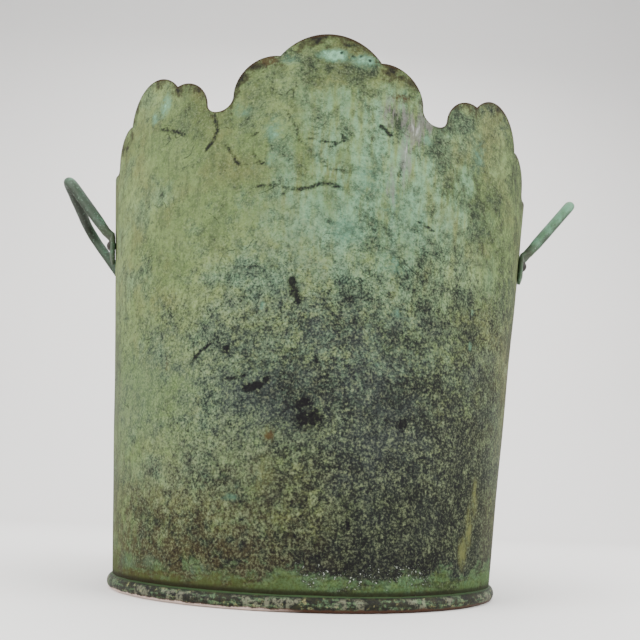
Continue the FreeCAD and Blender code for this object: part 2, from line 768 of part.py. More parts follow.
rivet_nodes = []
for name in SIDES:
    handle_rivets = []
    washers = []
    for place, frame in foot_frames[name].items():
        label = f"{name}_{place}"
        handle_rivets.append(
            rivet(f"{label}_handle_rivet", frame, "{rivet_radius}", HANDLE_HEAD, HANDLE_TAIL, HANDLE_GRIP)
        )
        washers.append(washer(f"{label}_washer", frame, WASHER_FACE))
    seam_rivets = [
        rivet(f"{name}_seam_rivet_{step}", frame, "{seam_rivet_radius}", SEAM_HEAD, SEAM_TAIL, SEAM_GRIP)
        for step, frame in enumerate(seam_frames[name], start=1)
    ]
    rivet_nodes.append(group(f"{name}_handle_rivets", handle_rivets))
    rivet_nodes.append(group(f"{name}_rivet_washers", washers))
    rivet_nodes.append(group(f"{name}_seam_rivets", seam_rivets))


# Check and write

doc.recompute()
NODES = [front_wall, back_wall, bottom_pan, pan_solder, foot_bead, foot_wire, left_handle, right_handle] + rivet_nodes
for item in doc.Objects:
    for word in ("Invalid", "Error"):
        if word in item.State:
            raise RuntimeError(f"{item.Label} is {word}")
for node in NODES:
    if node.Shape.isNull() or not node.Shape.isValid():
        raise RuntimeError(f"{node.Label} has no valid shape")

os.makedirs("parts", exist_ok=True)
for node in NODES:
    node.Shape.exportStep(f"parts/{node.Label}.step")
    box = node.Shape.BoundBox
    print(f"{node.Label}: {len(node.Shape.Solids)} solids, {node.Shape.Volume:.1f} mm3, "
          f"{box.XLength:.1f} x {box.YLength:.1f} x {box.ZLength:.1f} mm")
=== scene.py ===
# %% [markdown]
# # A verdigris copper bucket
#
# This notebook dresses an oval copper bucket that is already built in CAD. The real one is sheet copper,
# cut to a scalloped rim, lapped and riveted at its two ends, rolled over an iron wire at the foot, and
# carried by two bent rods. Decades outdoors gave it a matte green skin. The CAD model comes in first,
# as a frame that nothing may move: every piece made below takes its place from it.

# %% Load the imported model
import math

import bmesh
import bpy
import numpy as np
from mathutils import Matrix, Vector


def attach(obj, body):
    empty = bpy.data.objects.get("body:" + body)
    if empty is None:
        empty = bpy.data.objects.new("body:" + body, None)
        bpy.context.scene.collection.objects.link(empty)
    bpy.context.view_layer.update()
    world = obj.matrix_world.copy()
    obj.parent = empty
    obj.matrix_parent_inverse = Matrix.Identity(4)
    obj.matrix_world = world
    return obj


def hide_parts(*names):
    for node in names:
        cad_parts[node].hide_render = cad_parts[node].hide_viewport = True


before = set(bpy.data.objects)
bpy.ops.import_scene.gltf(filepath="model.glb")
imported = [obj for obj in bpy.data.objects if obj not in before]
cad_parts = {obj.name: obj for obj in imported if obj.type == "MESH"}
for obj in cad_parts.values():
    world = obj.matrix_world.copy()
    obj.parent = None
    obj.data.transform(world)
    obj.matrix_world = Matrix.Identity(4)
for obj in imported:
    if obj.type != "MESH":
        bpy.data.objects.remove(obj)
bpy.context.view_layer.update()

MM = 0.001

# %% [markdown]
# ## Helpers
#
# Colours are given as hex values, which are coded for a screen, while the renderer adds light
# in linear units, so each one is converted once. A node is added with its settings and its inputs in a
# single call.
#
# Every piece here is a section carried along a line: the bead is a circle carried round an oval, a
# handle is a rod carried along a bent path, and even a wall sheet is a very tall thin section carried
# round the bucket. So one function turns a grid of points, stations by places round the section, into a
# closed skin. Modifiers could do this too, but a grid keeps every point where the formula put it.

# %% Colour and nodes
def linear(hex_code):
    """An sRGB hex code as linear RGBA."""
    parts = np.array([int(hex_code[start:start + 2], 16) for start in (1, 3, 5)]) / 255
    curved = ((parts + 0.055) / 1.055) ** 2.4
    return (*np.where(parts <= 0.04045, parts / 12.92, curved).tolist(), 1.0)


def add_node(tree, kind, inputs=None, **settings):
    """Add one node: settings are its properties, inputs its sockets by name or number, values or links."""
    node = tree.nodes.new(kind)
    for name, setting in settings.items():
        setattr(node, name, setting)
    for name, given in (inputs or {}).items():
        if isinstance(given, bpy.types.NodeSocket):
            tree.links.new(given, node.inputs[name])
        else:
            node.inputs[name].default_value = given
    return node


print("mid grey #808080 in linear light:", round(linear("#808080")[0], 3))


# %% A grid of points as a skin
SHARP = math.radians(50)  # edges that turn more than this are shaded sharp


def surface(name, points, ring=True, endless=False, slots=None):
    """A mesh from points[station, place, xyz] in mm.

    ring closes each section on itself and endless joins the last station to the first. A ring with two
    ends gets a flat cap on each. slots gives the material number that follows each place.
    """
    stations, places = points.shape[:2]
    index = np.arange(stations * places).reshape(stations, places)
    grid = np.concatenate([index, index[:, :1]], axis=1) if ring else index
    grid = np.concatenate([grid, grid[:1]], axis=0) if endless else grid
    quads = np.stack([grid[:-1, :-1], grid[1:, :-1], grid[1:, 1:], grid[:-1, 1:]], axis=-1)
    corners, sizes = quads.reshape(-1), np.full(quads.shape[0] * quads.shape[1], 4)
    face_slots = np.tile(np.zeros(quads.shape[1], int) if slots is None else slots, quads.shape[0])
    if ring and not endless:
        # Two caps, the last one turned round so that it faces out as well.
        corners = np.concatenate([corners, index[0], index[-1, ::-1]])
        sizes = np.concatenate([sizes, [places, places]])
        face_slots = np.concatenate([face_slots, [0, 0]])
    mesh = bpy.data.meshes.new(name)
    mesh.vertices.add(stations * places)
    mesh.vertices.foreach_set("co", (points * MM).ravel())
    mesh.loops.add(len(corners))
    mesh.loops.foreach_set("vertex_index", corners)
    mesh.polygons.add(len(sizes))
    mesh.polygons.foreach_set("loop_start", np.concatenate([[0], np.cumsum(sizes)[:-1]]))
    mesh.polygons.foreach_set("material_index", face_slots)
    mesh.polygons.foreach_set("use_smooth", np.ones(len(sizes), dtype=bool))
    mesh.update(calc_edges=True)
    skin = bmesh.new()
    skin.from_mesh(mesh)
    bmesh.ops.recalc_face_normals(skin, faces=skin.faces)
    open_edges, volume = sum(edge.is_boundary for edge in skin.edges), skin.calc_volume(signed=True)
    skin.to_mesh(mesh)
    skin.free()
    mesh.set_sharp_from_angle(angle=SHARP)
    piece = bpy.data.objects.new(name, mesh)
    bpy.context.scene.collection.objects.link(piece)
    print(f"{name}: {int(np.sum(sizes - 2))} triangles, {open_edges} open edges, {volume / MM ** 3:.0f} mm3")
    return piece


# %% [markdown]
# ## The flared oval
#
# The wall is a cone with an oval plan. Its half length and half width grow in a straight line from the
# foot to the rim. A point of the wall needs two numbers: its height, and the eccentric angle round the
# oval, counted from the front. Lofting between two ovals in CAD follows the same rule, so both agree.

# %% The wall's formula, in mm
BEAD_TOP = 5.75
WALL_HEIGHT = 190.0  # from the bead to the valleys of the rim
FOOT_HALVES = np.array([85.0, 66.0])
RIM_HALVES = np.array([115.0, 92.0])
SHEET = 1.0
FLARES = (RIM_HALVES - FOOT_HALVES) / WALL_HEIGHT


def half_axes(height):
    """Half length and half width of the wall's outer face at a height."""
    above = height - BEAD_TOP
    return FOOT_HALVES[0] + FLARES[0] * above, FOOT_HALVES[1] + FLARES[1] * above


def wall_point(angle, height, offset):
    """(half length * sin angle, -half width * cos angle, height), with an offset added to both halves."""
    half_length, half_width = half_axes(height)
    return np.stack([
        (half_length + offset) * np.sin(angle), -(half_width + offset) * np.cos(angle), height], axis=-1)


print(f"wall: {2 * FOOT_HALVES} mm at the foot, {2 * RIM_HALVES} mm at the valleys of the rim")


# %% [markdown]
# ## The rim's line
#
# The smith drew the crowns on the flat sheet with a compass: a tall middle lobe between two shoulders,
# and round-bottomed valleys between the crowns. In CAD each crown is an outline pushed straight through
# the wall. Here such an outline is laid on the wall as a line of points. For a point of the outline,
# whose plane is turned by a known angle, the eccentric angle comes from one arcsine. The rim could also
# be cut with a boolean, but its ragged triangles would spoil the shading along the edge.

# %% Sizes of the crowns in mm
# The peak and the rises, where the shoulders start, are heights above the valleys. Shoulders and valleys
# are radii, and the flats are the short level runs at the bottom of the valleys.
VALLEY = BEAD_TOP + WALL_HEIGHT
FRONT_ANGLE, END_ANGLE = math.radians(26.2), math.radians(66.6)
SIDE_TURN = math.atan(math.tan((FRONT_ANGLE + END_ANGLE) / 2) * RIM_HALVES[1] / RIM_HALVES[0])
END_FLOOR = VALLEY - 4.5
END_RISE = 8.0
FRONT_CROWN = {"lobe_half": 22.2, "peak": 34.5, "shoulder": 16.8, "rises": (6.8, 6.8), "valleys": (6.0, 6.0),
               "flats": (0.5, 0.5)}
SIDE_CROWN = {"lobe_half": 17.0, "peak": 26.5, "shoulder": 13.2, "rises": (5.5, -1.0), "valleys": (5.4, 2.2),
              "flats": (0.0, 0.7)}
VALLEY_SHIFT = 2.5  # the valley beside the front crown lies this much nearer the front than in CAD
STEP = 1.1  # between points of the rim
print(f"the side crowns are turned {math.degrees(SIDE_TURN):.1f} degrees from the front")


# %% Outline of a crown from straight runs and arcs
def run(start, finish, radius=None, side=1):
    """Points from start towards finish: straight, or a short arc with its centre left (1) or right (-1)."""
    start, finish = np.array(start, float), np.array(finish, float)
    chord = finish - start
    length = np.hypot(*chord)
    share = np.linspace(0, 1, max(int(np.ceil(length / STEP)), 2), endpoint=False)[:, None]
    if radius is None:
        return start + chord * share
    left = np.array([-chord[1], chord[0]]) / length
    centre = (start + finish) / 2 + left * side * math.sqrt(max(radius ** 2 - length ** 2 / 4, 0))
    first = math.atan2(*(start - centre)[::-1])
    angles = first + 2 * math.asin(min(length / 2 / radius, 1)) * side * share
    return centre + radius * np.concatenate([np.cos(angles), np.sin(angles)], axis=1)


def crown(edges, middle, floors, size):
    """Outline of a three-lobed crown from edge to edge, as (across, height).

    A flat, a quarter circle up, a straight rise, a shoulder, the middle lobe, and the same down again.
    floors are the heights of its two valleys.
    """
    left, right = edges[0] + size["flats"][0], edges[1] - size["flats"][1]
    left_wall, right_wall = left + size["valleys"][0], right - size["valleys"][1]
    notches = middle - size["lobe_half"], middle + size["lobe_half"]
    heights = [VALLEY + rise for rise in size["rises"]]
    reaches = left_wall + size["shoulder"] - notches[0], notches[1] - right_wall + size["shoulder"]
    tops = [height + math.sqrt(size["shoulder"] ** 2 - reach ** 2) for height, reach in zip(heights, reaches)]
    lobe_rise = VALLEY + size["peak"] - sum(tops) / 2
    lobe_radius = (size["lobe_half"] ** 2 + lobe_rise ** 2) / (2 * lobe_rise)
    return np.concatenate([
        run((edges[0], floors[0]), (left, floors[0])),
        run((left, floors[0]), (left_wall, floors[0] + size["valleys"][0]), size["valleys"][0], 1),
        run((left_wall, floors[0] + size["valleys"][0]), (left_wall, heights[0])),
        run((left_wall, heights[0]), (notches[0], tops[0]), size["shoulder"], -1),
        run((notches[0], tops[0]), (notches[1], tops[1]), lobe_radius, -1),
        run((notches[1], tops[1]), (right_wall, heights[1]), size["shoulder"], -1),
        run((right_wall, heights[1]), (right_wall, floors[1] + size["valleys"][1])),
        run((right_wall, floors[1] + size["valleys"][1]), (right, floors[1]), size["valleys"][1], 1),
        run((right, floors[1]), (edges[1], floors[1])),
    ])


def on_wall(outline, turn):
    """Eccentric angle and height of outline points.

    A point lies along * sin(angle) - beside * cos(angle) across the turned plane, solved for the angle.
    """
    half_length, half_width = half_axes(outline[:, 1])
    along, beside = half_length * math.cos(turn), half_width * math.sin(turn)
    angle = np.arcsin(outline[:, 0] / np.hypot(along, beside)) + np.arctan2(beside, along)
    return np.stack([angle, outline[:, 1]], axis=1)


# %% The rim from the front's middle to the right end
def across(angle, turn):
    """How far along a turned plane the wall lies at an eccentric angle, at the height of the valleys."""
    return RIM_HALVES[0] * math.sin(angle) * math.cos(turn) - RIM_HALVES[1] * math.cos(angle) * math.sin(turn)


front_edge = across(FRONT_ANGLE, 0) - VALLEY_SHIFT
front_line = on_wall(crown((-front_edge, front_edge), 0.0, (VALLEY, VALLEY), FRONT_CROWN), 0)
side_edges = across(FRONT_ANGLE, SIDE_TURN), across(END_ANGLE, SIDE_TURN)
side_middle = sum(side_edges) / 2
side_line = on_wall(crown(
    (side_edges[0] - VALLEY_SHIFT, side_edges[1]), side_middle, (VALLEY, END_FLOOR), SIDE_CROWN), SIDE_TURN)
end_half = RIM_HALVES[1] * math.cos(END_ANGLE) - SIDE_CROWN["flats"][1]
end_radius = (end_half ** 2 + END_RISE ** 2) / (2 * END_RISE)
end_line = on_wall(run((-end_half, END_FLOOR), (end_half, END_FLOOR), end_radius, -1), math.pi / 2)

# One quarter, from the front's middle to the right end, without points that nearly coincide.
MARGIN, APART = 1e-4, 2e-4
front_half = front_line[front_line[:, 0] > MARGIN]
end_half_line = end_line[end_line[:, 0] < math.pi / 2 - MARGIN]
quarter = np.concatenate([front_half, side_line, end_half_line])
quarter = quarter[np.argsort(quarter[:, 0], kind="stable")]
top, end_top = [0.0, VALLEY + FRONT_CROWN["peak"]], [math.pi / 2, END_FLOOR + END_RISE]
quarter = np.concatenate([[top], quarter, [end_top]])
quarter = quarter[np.concatenate([[True], np.diff(quarter[:, 0]) > APART])]
lowest, highest = quarter[:, 1].min(), quarter[:, 1].max()
print(f"rim: {len(quarter)} points in a quarter, {lowest:.1f} to {highest:.1f} mm high")


def rim_height(angle):
    """Height of the rim at any eccentric angle, by folding it into the quarter worked out above."""
    folded = np.abs((angle + math.pi) % (2 * math.pi) - math.pi)
    folded = np.where(folded > math.pi / 2, math.pi - folded, folded)
    return np.interp(folded, quarter[:, 0], quarter[:, 1])


# %% [markdown]
# ## Hammer work
#
# No hand-made sheet is a perfect cone. A planishing hammer leaves soft hollows a few centimetres wide
# and a few tenths deep, and the light across the wall shows them. A sum of slow waves in random
# directions gives that unevenness. Sculpting would give it too, but it couldn't be read or changed as
# numbers. It only goes inward, so the wall never leaves its CAD space.

# %% Dents as a sum of slow waves
WAVES = 14
WAVE_RATES = 0.05, 0.15  # radians per mm, so a wave is 42 to 126 mm long
HIGH_SUM = 5.0  # the waves rarely add up to more
DENT = 0.2
MEAN_HALVES = 100, 80  # of an oval about half way up

rng = np.random.default_rng(7)
wave_ways = rng.normal(size=(WAVES, 3))
wave_ways *= rng.uniform(*WAVE_RATES, size=(WAVES, 1)) / np.linalg.norm(wave_ways, axis=1, keepdims=True)
wave_phases = rng.uniform(0, 2 * math.pi, size=WAVES)


def dent(angle, height):
    """Depth of the hammer work in mm: DENT * (1 - sum of cos(way . place + phase) / HIGH_SUM), clipped."""
    place = np.stack([MEAN_HALVES[0] * np.sin(angle), -MEAN_HALVES[1] * np.cos(angle), height], axis=-1)
    total = sum(np.cos(place @ way + phase) for way, phase in zip(wave_ways, wave_phases))
    return DENT * (1 - np.clip(total / HIGH_SUM, -1, 1))


print(f"{WAVES} waves, {2 * math.pi / WAVE_RATES[1]:.0f} to {2 * math.pi / WAVE_RATES[0]:.0f} mm long, "
      f"{2 * DENT} mm deep at most")


# %% [markdown]
# ## What time has drawn on the wall
#
# Some marks sit at places of their own: scratches that went black, scabs of dark oxide, milky green
# clouds, a rubbed patch. They could be an image, but the bucket uses none. Each is written down as a
# stroke or a blot in wall coordinates, and numpy works out how near every vertex is. The result rides on
# the mesh in two colour attributes, and the material frays their edges with noise. Some scratches on
# such a wall are finer than the mesh can carry, so the thinnest are drawn a little over 1 mm wide.

# %% Strokes: points in degrees from the front and mm of height, then half width in mm and strength
STROKES = [
    ([(-16.2, 158.5), (-13.6, 159.1), (-10.8, 159.2), (-8.1, 157.8), (-5.3, 157.2)], 0.95, 0.8),
    ([(-5.3, 157.2), (-2.7, 158.5), (-1.1, 160.1), (1.1, 160.4), (3.8, 158.6)], 1.15, 0.95),
    ([(-25.7, 194.3), (-24.7, 186.8), (-25.6, 183), (-27.6, 178.4)], 1.2, 0.95),
    ([(-22.5, 179), (-20.5, 173.4), (-19.3, 169.1)], 1, 0.85),
    ([(-19, 169), (-14.4, 168.8)], 0.6, 0.55),
    ([(-41, 195.6), (-38, 192.6), (-35.1, 190.2), (-33.6, 187.7)], 1.2, 1),
    ([(-17.2, 181.2), (-15.2, 183.2)], 0.9, 0.7),
    ([(-15.9, 173.6), (-15, 170.6), (-13, 168.2)], 0.8, 0.85),
    ([(-13, 168.2), (-13.1, 174.9)], 0.75, 0.6), ([(-13.2, 176.8), (-11, 176.8)], 0.7, 0.6),
    ([(-8.8, 192.5), (-7, 186), (-6.1, 178.7)], 0.8, 0.9),
    ([(-11.2, 147.3), (-7.9, 148.3), (-5.5, 151.1)], 0.6, 0.45),
    ([(0.6, 176.6), (2.7, 178.5), (4.8, 181.8)], 0.75, 0.8),
    ([(-4.2, 180.4), (-1.5, 179.1), (2.7, 178.5)], 0.75, 0.8),
    ([(-0.8, 168.4), (2, 166.5), (5.3, 166.1)], 0.75, 0.8), ([(11.2, 189), (13.8, 185.8)], 1.3, 0.95),
    ([(16.3, 167.5), (17.2, 174.7)], 1.1, 0.8), ([(22, 149.2), (24, 148.6), (26, 147)], 0.9, 1),
    ([(-30.4, 86.8), (-27.9, 91), (-23.9, 95.6)], 0.8, 1),
    ([(-29.8, 96.2), (-29.3, 88.2), (-27.1, 86)], 0.7, 0.7),
    ([(-21.7, 79.9), (-18.5, 80.6), (-16.1, 81.3)], 0.8, 1),
    ([(-15.5, 106.2), (-13.7, 105.2)], 0.6, 0.7), ([(-19.8, 63.5), (-18.8, 62.1)], 1.1, 0.9),
    ([(-0.2, 89.6), (0.5, 87.3)], 1, 0.9), ([(9.1, 30.6), (9.7, 28.2)], 1.1, 0.9),
    ([(-6.2, 118.6), (-5.6, 114.8), (-4.7, 111.4)], 2, 1.2),
]
print(f"{len(STROKES)} scratches")

# %% Dark scabs and pits: degrees from the front, mm of height, half width and half height in mm, strength
BLOTS = [
    (-13.9, 114.2, 1.8, 3, 0.6), (-21, 91.5, 2.3, 2, 1), (-5.7, 91.5, 2, 1.6, 0.7),
    (23, 126.8, 2.6, 2.6, 0.65), (-0.7, 66.2, 5.6, 3.8, 1.4), (-2.2, 71.4, 3.8, 2.8, 1.2),
    (-1, 178.2, 1.1, 0.9, 0.9), (-4.7, 228, 4.2, 1.5, 0.9), (3.4, 225.4, 4, 1.6, 0.9),
    (21.5, 65.8, 3.4, 2.6, 1.2), (36.2, 169.2, 4, 3.6, 0.5), (-24.4, 90.9, 2.4, 1.4, 0.6),
    (-33, 201, 4, 4, 0.5), (9.4, 183.3, 3.2, 3.4, 0.4), (-8, 170, 1.6, 1.3, 0.6),
    (-10, 172, 1.1, 1, 0.6), (-15, 76.8, 2.7, 1.9, 1.6), (-13, 77.6, 2.5, 1.9, 1.4),
    (-11, 80.2, 1.7, 1.5, 1.4), (-12.8, 75.2, 1.5, 1.2, 0.9), (-4.2, 223.6, 1.4, 1.4, 0.9),
    (-16, 214.6, 4.5, 1.8, 1), (-32, 217, 3, 3, 0.8), (-12, 203, 3.5, 3, 0.5),
]
PITS = [
    (-2.4, 220.6, 1, 1, 1.1), (-0.8, 222.3, 0.9, 0.9, 1), (0.6, 219.6, 1, 1, 1.2),
    (2.2, 221.4, 0.9, 0.9, 1.1), (2.9, 219.2, 0.8, 0.8, 1), (4.6, 220.2, 1, 1, 1),
    (6.3, 221, 0.8, 1, 1.2), (8.2, 219.4, 0.9, 0.9, 1), (9.6, 221.4, 0.8, 0.8, 1),
    (11.5, 219.8, 1, 1, 1),
]
print(f"{len(BLOTS)} scabs, {len(PITS)} pits")

# %% Stains, written the same way: milky clouds, rubbed metal, yellow, brown, and crust that has flaked
CLOUDS = [
    (-40.2, 207.2, 4, 6, 1.2), (-43.9, 203.2, 3, 4, 0.9), (0.6, 220.2, 6, 3, 1.6), (7, 219, 8, 4, 0.9),
    (-11.3, 183.9, 4.5, 6.5, 0.8), (-12.4, 169.9, 3, 5, 0.6), (-19.4, 194.6, 6, 6, 0.5),
    (-8.7, 216.8, 5, 4, 0.5), (-12.6, 108.6, 1.5, 1.8, 0.9), (16.1, 128.9, 5.5, 6, 0.7),
    (17.9, 109.8, 4.5, 2.5, 0.7), (41.1, 102, 1.3, 2.4, 0.8), (40.9, 116.9, 1.2, 2, 0.7),
    (-19.2, 37.2, 5, 2, 0.5), (-17.2, 41.1, 1.6, 1.6, 0.4), (-1.3, 153, 4, 5, 0.5),
    (4.7, 147.4, 4.5, 5, 0.4), (22.5, 187.7, 4, 3, 0.7), (13.9, 87.9, 2, 2.2, 0.6),
    (27.9, 148.5, 9, 8, 0.4), (14.7, 158, 7, 14, 0.5), (-55, 12.5, 10, 4.5, 0.5),
    (-43, 13, 9, 3.5, 0.4), (-27, 12.5, 8, 4, 0.4), (9, 168, 9, 16, 0.5), (38, 192, 9, 14, 0.5),
    (5, 140, 8, 8, 0.6),
]
RUBS = [
    (15, 196, 6, 8, 1), (19, 190, 6, 10, 1), (21.8, 198, 4.5, 8, 0.9), (17.5, 176, 3.5, 14, 0.8),
    (14.8, 160, 2.5, 14, 0.6),
]
YELLOWS = [
    (49.4, 41, 2.8, 9, 0.9), (47.5, 30, 2.8, 8, 1), (45.5, 20, 3, 7, 1.1), (-11, 46, 5, 9, 0.6),
    (-10, 60, 6, 4, 0.5),
]
BROWNS = [
    (-9.8, 59.6, 2, 1.8, 1), (-6.8, 227.5, 2.4, 2.4, 1), (-38, 88, 1.2, 5, 0.7),
    (-13.5, 217.5, 5, 4.5, 0.9), (-33.5, 222, 4, 4, 0.9), (-40, 222, 3, 4, 0.7), (16, 204, 6, 3, 0.8),
    (-30, 205, 3, 4, 0.6),
]
FLAKED = [
    (-6, 75, 27, 15, 1.5), (-14, 97, 24, 12, 0.8), (27, 32, 36, 20, 0.5), (12, 48, 26, 12, 0.85),
    (2, 102, 30, 12, 0.8), (10, 14, 60, 12, 1), (-40, 22, 34, 16, 0.5), (-12.5, 79, 8, 6, 0.5),
    (36, 52, 18, 34, 0.75), (16, 70, 26, 20, 0.9), (-47, 140, 7, 8, 0.6), (-38, 104, 16, 14, 0.35),
]
print(f"{sum(map(len, (CLOUDS, RUBS, YELLOWS, BROWNS, FLAKED)))} stains")

# %% How near each point of the wall is to a mark
ROUND_SHARE = 0.95  # millimetres round the front per radian, over the half length


def unrolled(angle_degrees, height):
    """Rough millimetres round the wall from the front for an angle in degrees."""
    return np.radians(angle_degrees) * half_axes(height)[0] * ROUND_SHARE


def blot_field(angle, height, blots):
    """Soft spots: the largest of strength * exp(-distance squared), distance in each spot's radii."""
    field = np.zeros_like(angle)
    for place, level, half_across, half_high, strength in blots:
        sideways = (unrolled(np.degrees(angle), height) - unrolled(place, level)) / half_across
        field = np.maximum(field, strength * np.exp(-sideways ** 2 - ((height - level) / half_high) ** 2))
    return field


def stroke_field(angle, height, strokes):
    """Soft lines: strength * exp(-distance squared) from the nearest run, distance in half widths."""
    here = np.stack([unrolled(np.degrees(angle), height), height], axis=-1)
    field = np.zeros_like(angle)
    for places, half_width, strength in strokes:
        nodes = np.array([(unrolled(place, level), level) for place, level in places])
        for start, finish in zip(nodes[:-1], nodes[1:]):
            way = finish - start
            share = np.clip(((here - start) @ way) / (way @ way), 0, 1)[..., None]
            distance = np.linalg.norm(here - start - share * way, axis=-1) / half_width
            field = np.maximum(field, strength * np.exp(-distance ** 2))
    return field


def paint(piece, name, fields):
    """Store up to four fields, one number per vertex each, as a colour attribute."""
    colour = np.ones((len(piece.data.vertices), 4))
    for channel, field in enumerate(fields):
        colour[:, channel] = field.ravel()
    piece.data.attributes.new(name, "FLOAT_COLOR", "POINT").data.foreach_set("color", colour.ravel())


# %% [markdown]
# ## The wall sheets
#
# The front sheet reaches a little past both ends and the back sheet laps over it. The section of each is
# a loop: up the outer face, over a rim softened by a file, down the inner face and across the foot. The
# stations stand exactly under the rim's points, so the scallops come out as sharp as the outline. The
# outer face has a row about every millimetre, which is fine enough to carry the marks. A plain surface
# with Solidify would be quicker, but its rim would have square edges that no file had touched.

# %% One sheet as a closed skin
WALL_FOOT = 5.05
SPLIT = 180.0  # rows are level up to here and follow the rim above
RIM_SHARES = np.array([0.25, 0.5, 0.75])  # of the way across the sheet's thickness
RIM_SWELL = np.array([0.13, 0.18, 0.13])  # mm above the rim's line
RIM_REACH = 20.0  # mm below the rim that its tarnish can reach
INNER_ROWS = 10, 6


def heights_up(tops, rows):
    """Heights of one face: even rows to SPLIT, then rows that close up to the rim's line."""
    lower = np.linspace(WALL_FOOT, SPLIT, rows[0], endpoint=False)[None, :] + 0 * tops[:, None]
    upper = SPLIT + (tops[:, None] - SPLIT) * np.linspace(0, 1, rows[1])[None, :]
    return np.concatenate([lower, upper], axis=1)


def make_sheet(name, angles, outward, rows):
    """A sheet whose outer face stands at an offset from the nominal wall at each station."""
    tops = rim_height(angles)
    outer, inner = heights_up(tops, rows), heights_up(tops, INNER_ROWS)[:, ::-1]
    heights = np.concatenate([outer, tops[:, None] + RIM_SWELL, inner], axis=1)
    shares = np.concatenate([np.zeros(outer.shape[1]), RIM_SHARES, np.ones(inner.shape[1])])
    columns = np.broadcast_to(angles[:, None], heights.shape)
    offsets = outward[:, None] - SHEET * shares[None, :] - dent(columns, heights)
    inside = np.arange(len(shares)) >= outer.shape[1] + len(RIM_SHARES)
    piece = surface(name, wall_point(columns, heights, offsets), slots=inside * 1)

    to_rim = np.clip((tops[:, None] - heights) / RIM_REACH, 0, 1)
    dark = np.maximum(blot_field(columns, heights, BLOTS + PITS), stroke_field(columns, heights, STROKES))
    pale = [blot_field(columns, heights, blots) for blots in (CLOUDS, RUBS)]
    stains = [blot_field(columns, heights, blots) for blots in (YELLOWS, BROWNS, FLAKED)]
    paint(piece, "marks", [to_rim, dark, *pale])
    # The last channel is no stain: it grows towards both ends and carries a painted grey reflection there.
    paint(piece, "stains", [*stains, np.abs(np.sin(columns))])
    return piece


def columns_between(first, last):
    """Rim stations between two eccentric angles, unfolded from the quarter's points."""
    turns = (-math.pi, 0, math.pi, 2 * math.pi)
    whole = np.unique(np.concatenate([turn + sign * quarter[:, 0] for turn in turns for sign in (-1, 1)]))
    inside = whole[(whole > first + MARGIN) & (whole < last - MARGIN)]
    apart = np.diff(inside, prepend=-math.inf) > APART
    return np.concatenate([[first], inside[apart], [last]])


# %% Front sheet, and back sheet with its laps over the front's ends
LAP = 6.0  # each sheet goes this far past the end of the oval
LAP_HEIGHT = 110.0  # where that is measured
JOGGLE = 6.3, 10.3  # where the back sheet steps out to lie on the front one
FIT = 0.1  # play between pieces that touch, as in CAD
LAP_OFFSET = SHEET + FIT
FRONT_ROWS, BACK_ROWS = (160, 36), (110, 30)  # the front carries the marks, so it is finer

mean_width = half_axes(LAP_HEIGHT)[1]
past_end = math.asin(LAP / mean_width)
front_angles = columns_between(-math.pi / 2 - past_end, math.pi / 2 + past_end)
front_sheet = make_sheet("front_sheet", front_angles, np.zeros_like(front_angles), FRONT_ROWS)

back_angles = columns_between(math.pi / 2 - past_end, 3 * math.pi / 2 + past_end)
depth = -np.cos(back_angles) * mean_width
lap_share = np.clip((JOGGLE[1] - depth) / (JOGGLE[1] - JOGGLE[0]), 0, 1)
back_sheet = make_sheet("back_sheet", back_angles, lap_share * LAP_OFFSET, BACK_ROWS)

# %% [markdown]
# ## The rolled foot
#
# The wall's lower edge is turned over a wire, a bead that stiffens the foot and takes the wear. Carried
# round the oval, its section is a circle with a flat where it has rubbed on tables. The mallet leaves
# it slightly lumpy. A stretched torus would be simpler, but its section would stretch too, so a circle
# is carried along the oval's true normal instead.

# %% The bead as a section carried round an oval
BEAD_MIDDLE = 2.75  # height of its middle, a little less than its radius, so that it stands flat
BEAD_IN_WALL = 0.7  # its middle lies this far inside the wall's outer face
BEAD_RADIUS = 2.88
LUMP, CREASE = 0.07, 0.05
LUMP_WAVES = (23, 0.4), (37, 1.9), (61, 4.0)  # blows round the ring, and where they start
BEAD_STATIONS, BEAD_PLACES = 720, 28


def bead_section(turn, angle):
    """A circle flattened at the floor, whose radius wavers by mallet marks and shallow creases.

    Radius: BEAD_RADIUS + LUMP * mean of three waves round the ring + CREASE * one slow, uneven wave.
    """
    lumps = sum(np.sin(rate * angle + phase) for rate, phase in LUMP_WAVES) / len(LUMP_WAVES)
    creases = np.sin(9 * angle + 1.0 + 2 * np.sin(5 * angle)) * np.sin(turn)
    radius = BEAD_RADIUS + LUMP * lumps + CREASE * creases
    return radius * np.cos(turn), np.maximum(BEAD_MIDDLE + radius * np.sin(turn), 0.0)


angle = np.linspace(0, 2 * math.pi, BEAD_STATIONS, endpoint=False)[:, None]
turn = np.linspace(0, 2 * math.pi, BEAD_PLACES, endpoint=False)[None, :]
out, height = bead_section(turn + 0 * angle, angle + 0 * turn)
bead_length, bead_width = (half - BEAD_IN_WALL for half in half_axes(BEAD_MIDDLE))
normal = np.stack([bead_width * np.sin(angle), -bead_length * np.cos(angle)], axis=-1)
normal /= np.linalg.norm(normal, axis=-1, keepdims=True)
bead_points = np.stack([bead_length * np.sin(angle) + normal[..., 0] * out,
                        -bead_width * np.cos(angle) + normal[..., 1] * out, height], axis=-1)
rolled_bead = surface("rolled_bead", bead_points, endless=True)

# %% [markdown]
# ## The handles
#
# Each handle is one copper rod. Its ends were hammered flat and riveted to the wall, and the rod leans
# out at forty degrees. The rod is a section carried along a path, and the section changes on the way,
# from a wide flat foot to a round rod and back, as the hammer changed it. The left one was fixed
# askew: its rear foot sits lower than its front foot, and its legs are a little shorter. A curve with a
# bevel would make the round rod quickly, but its section can't turn flat on the way.

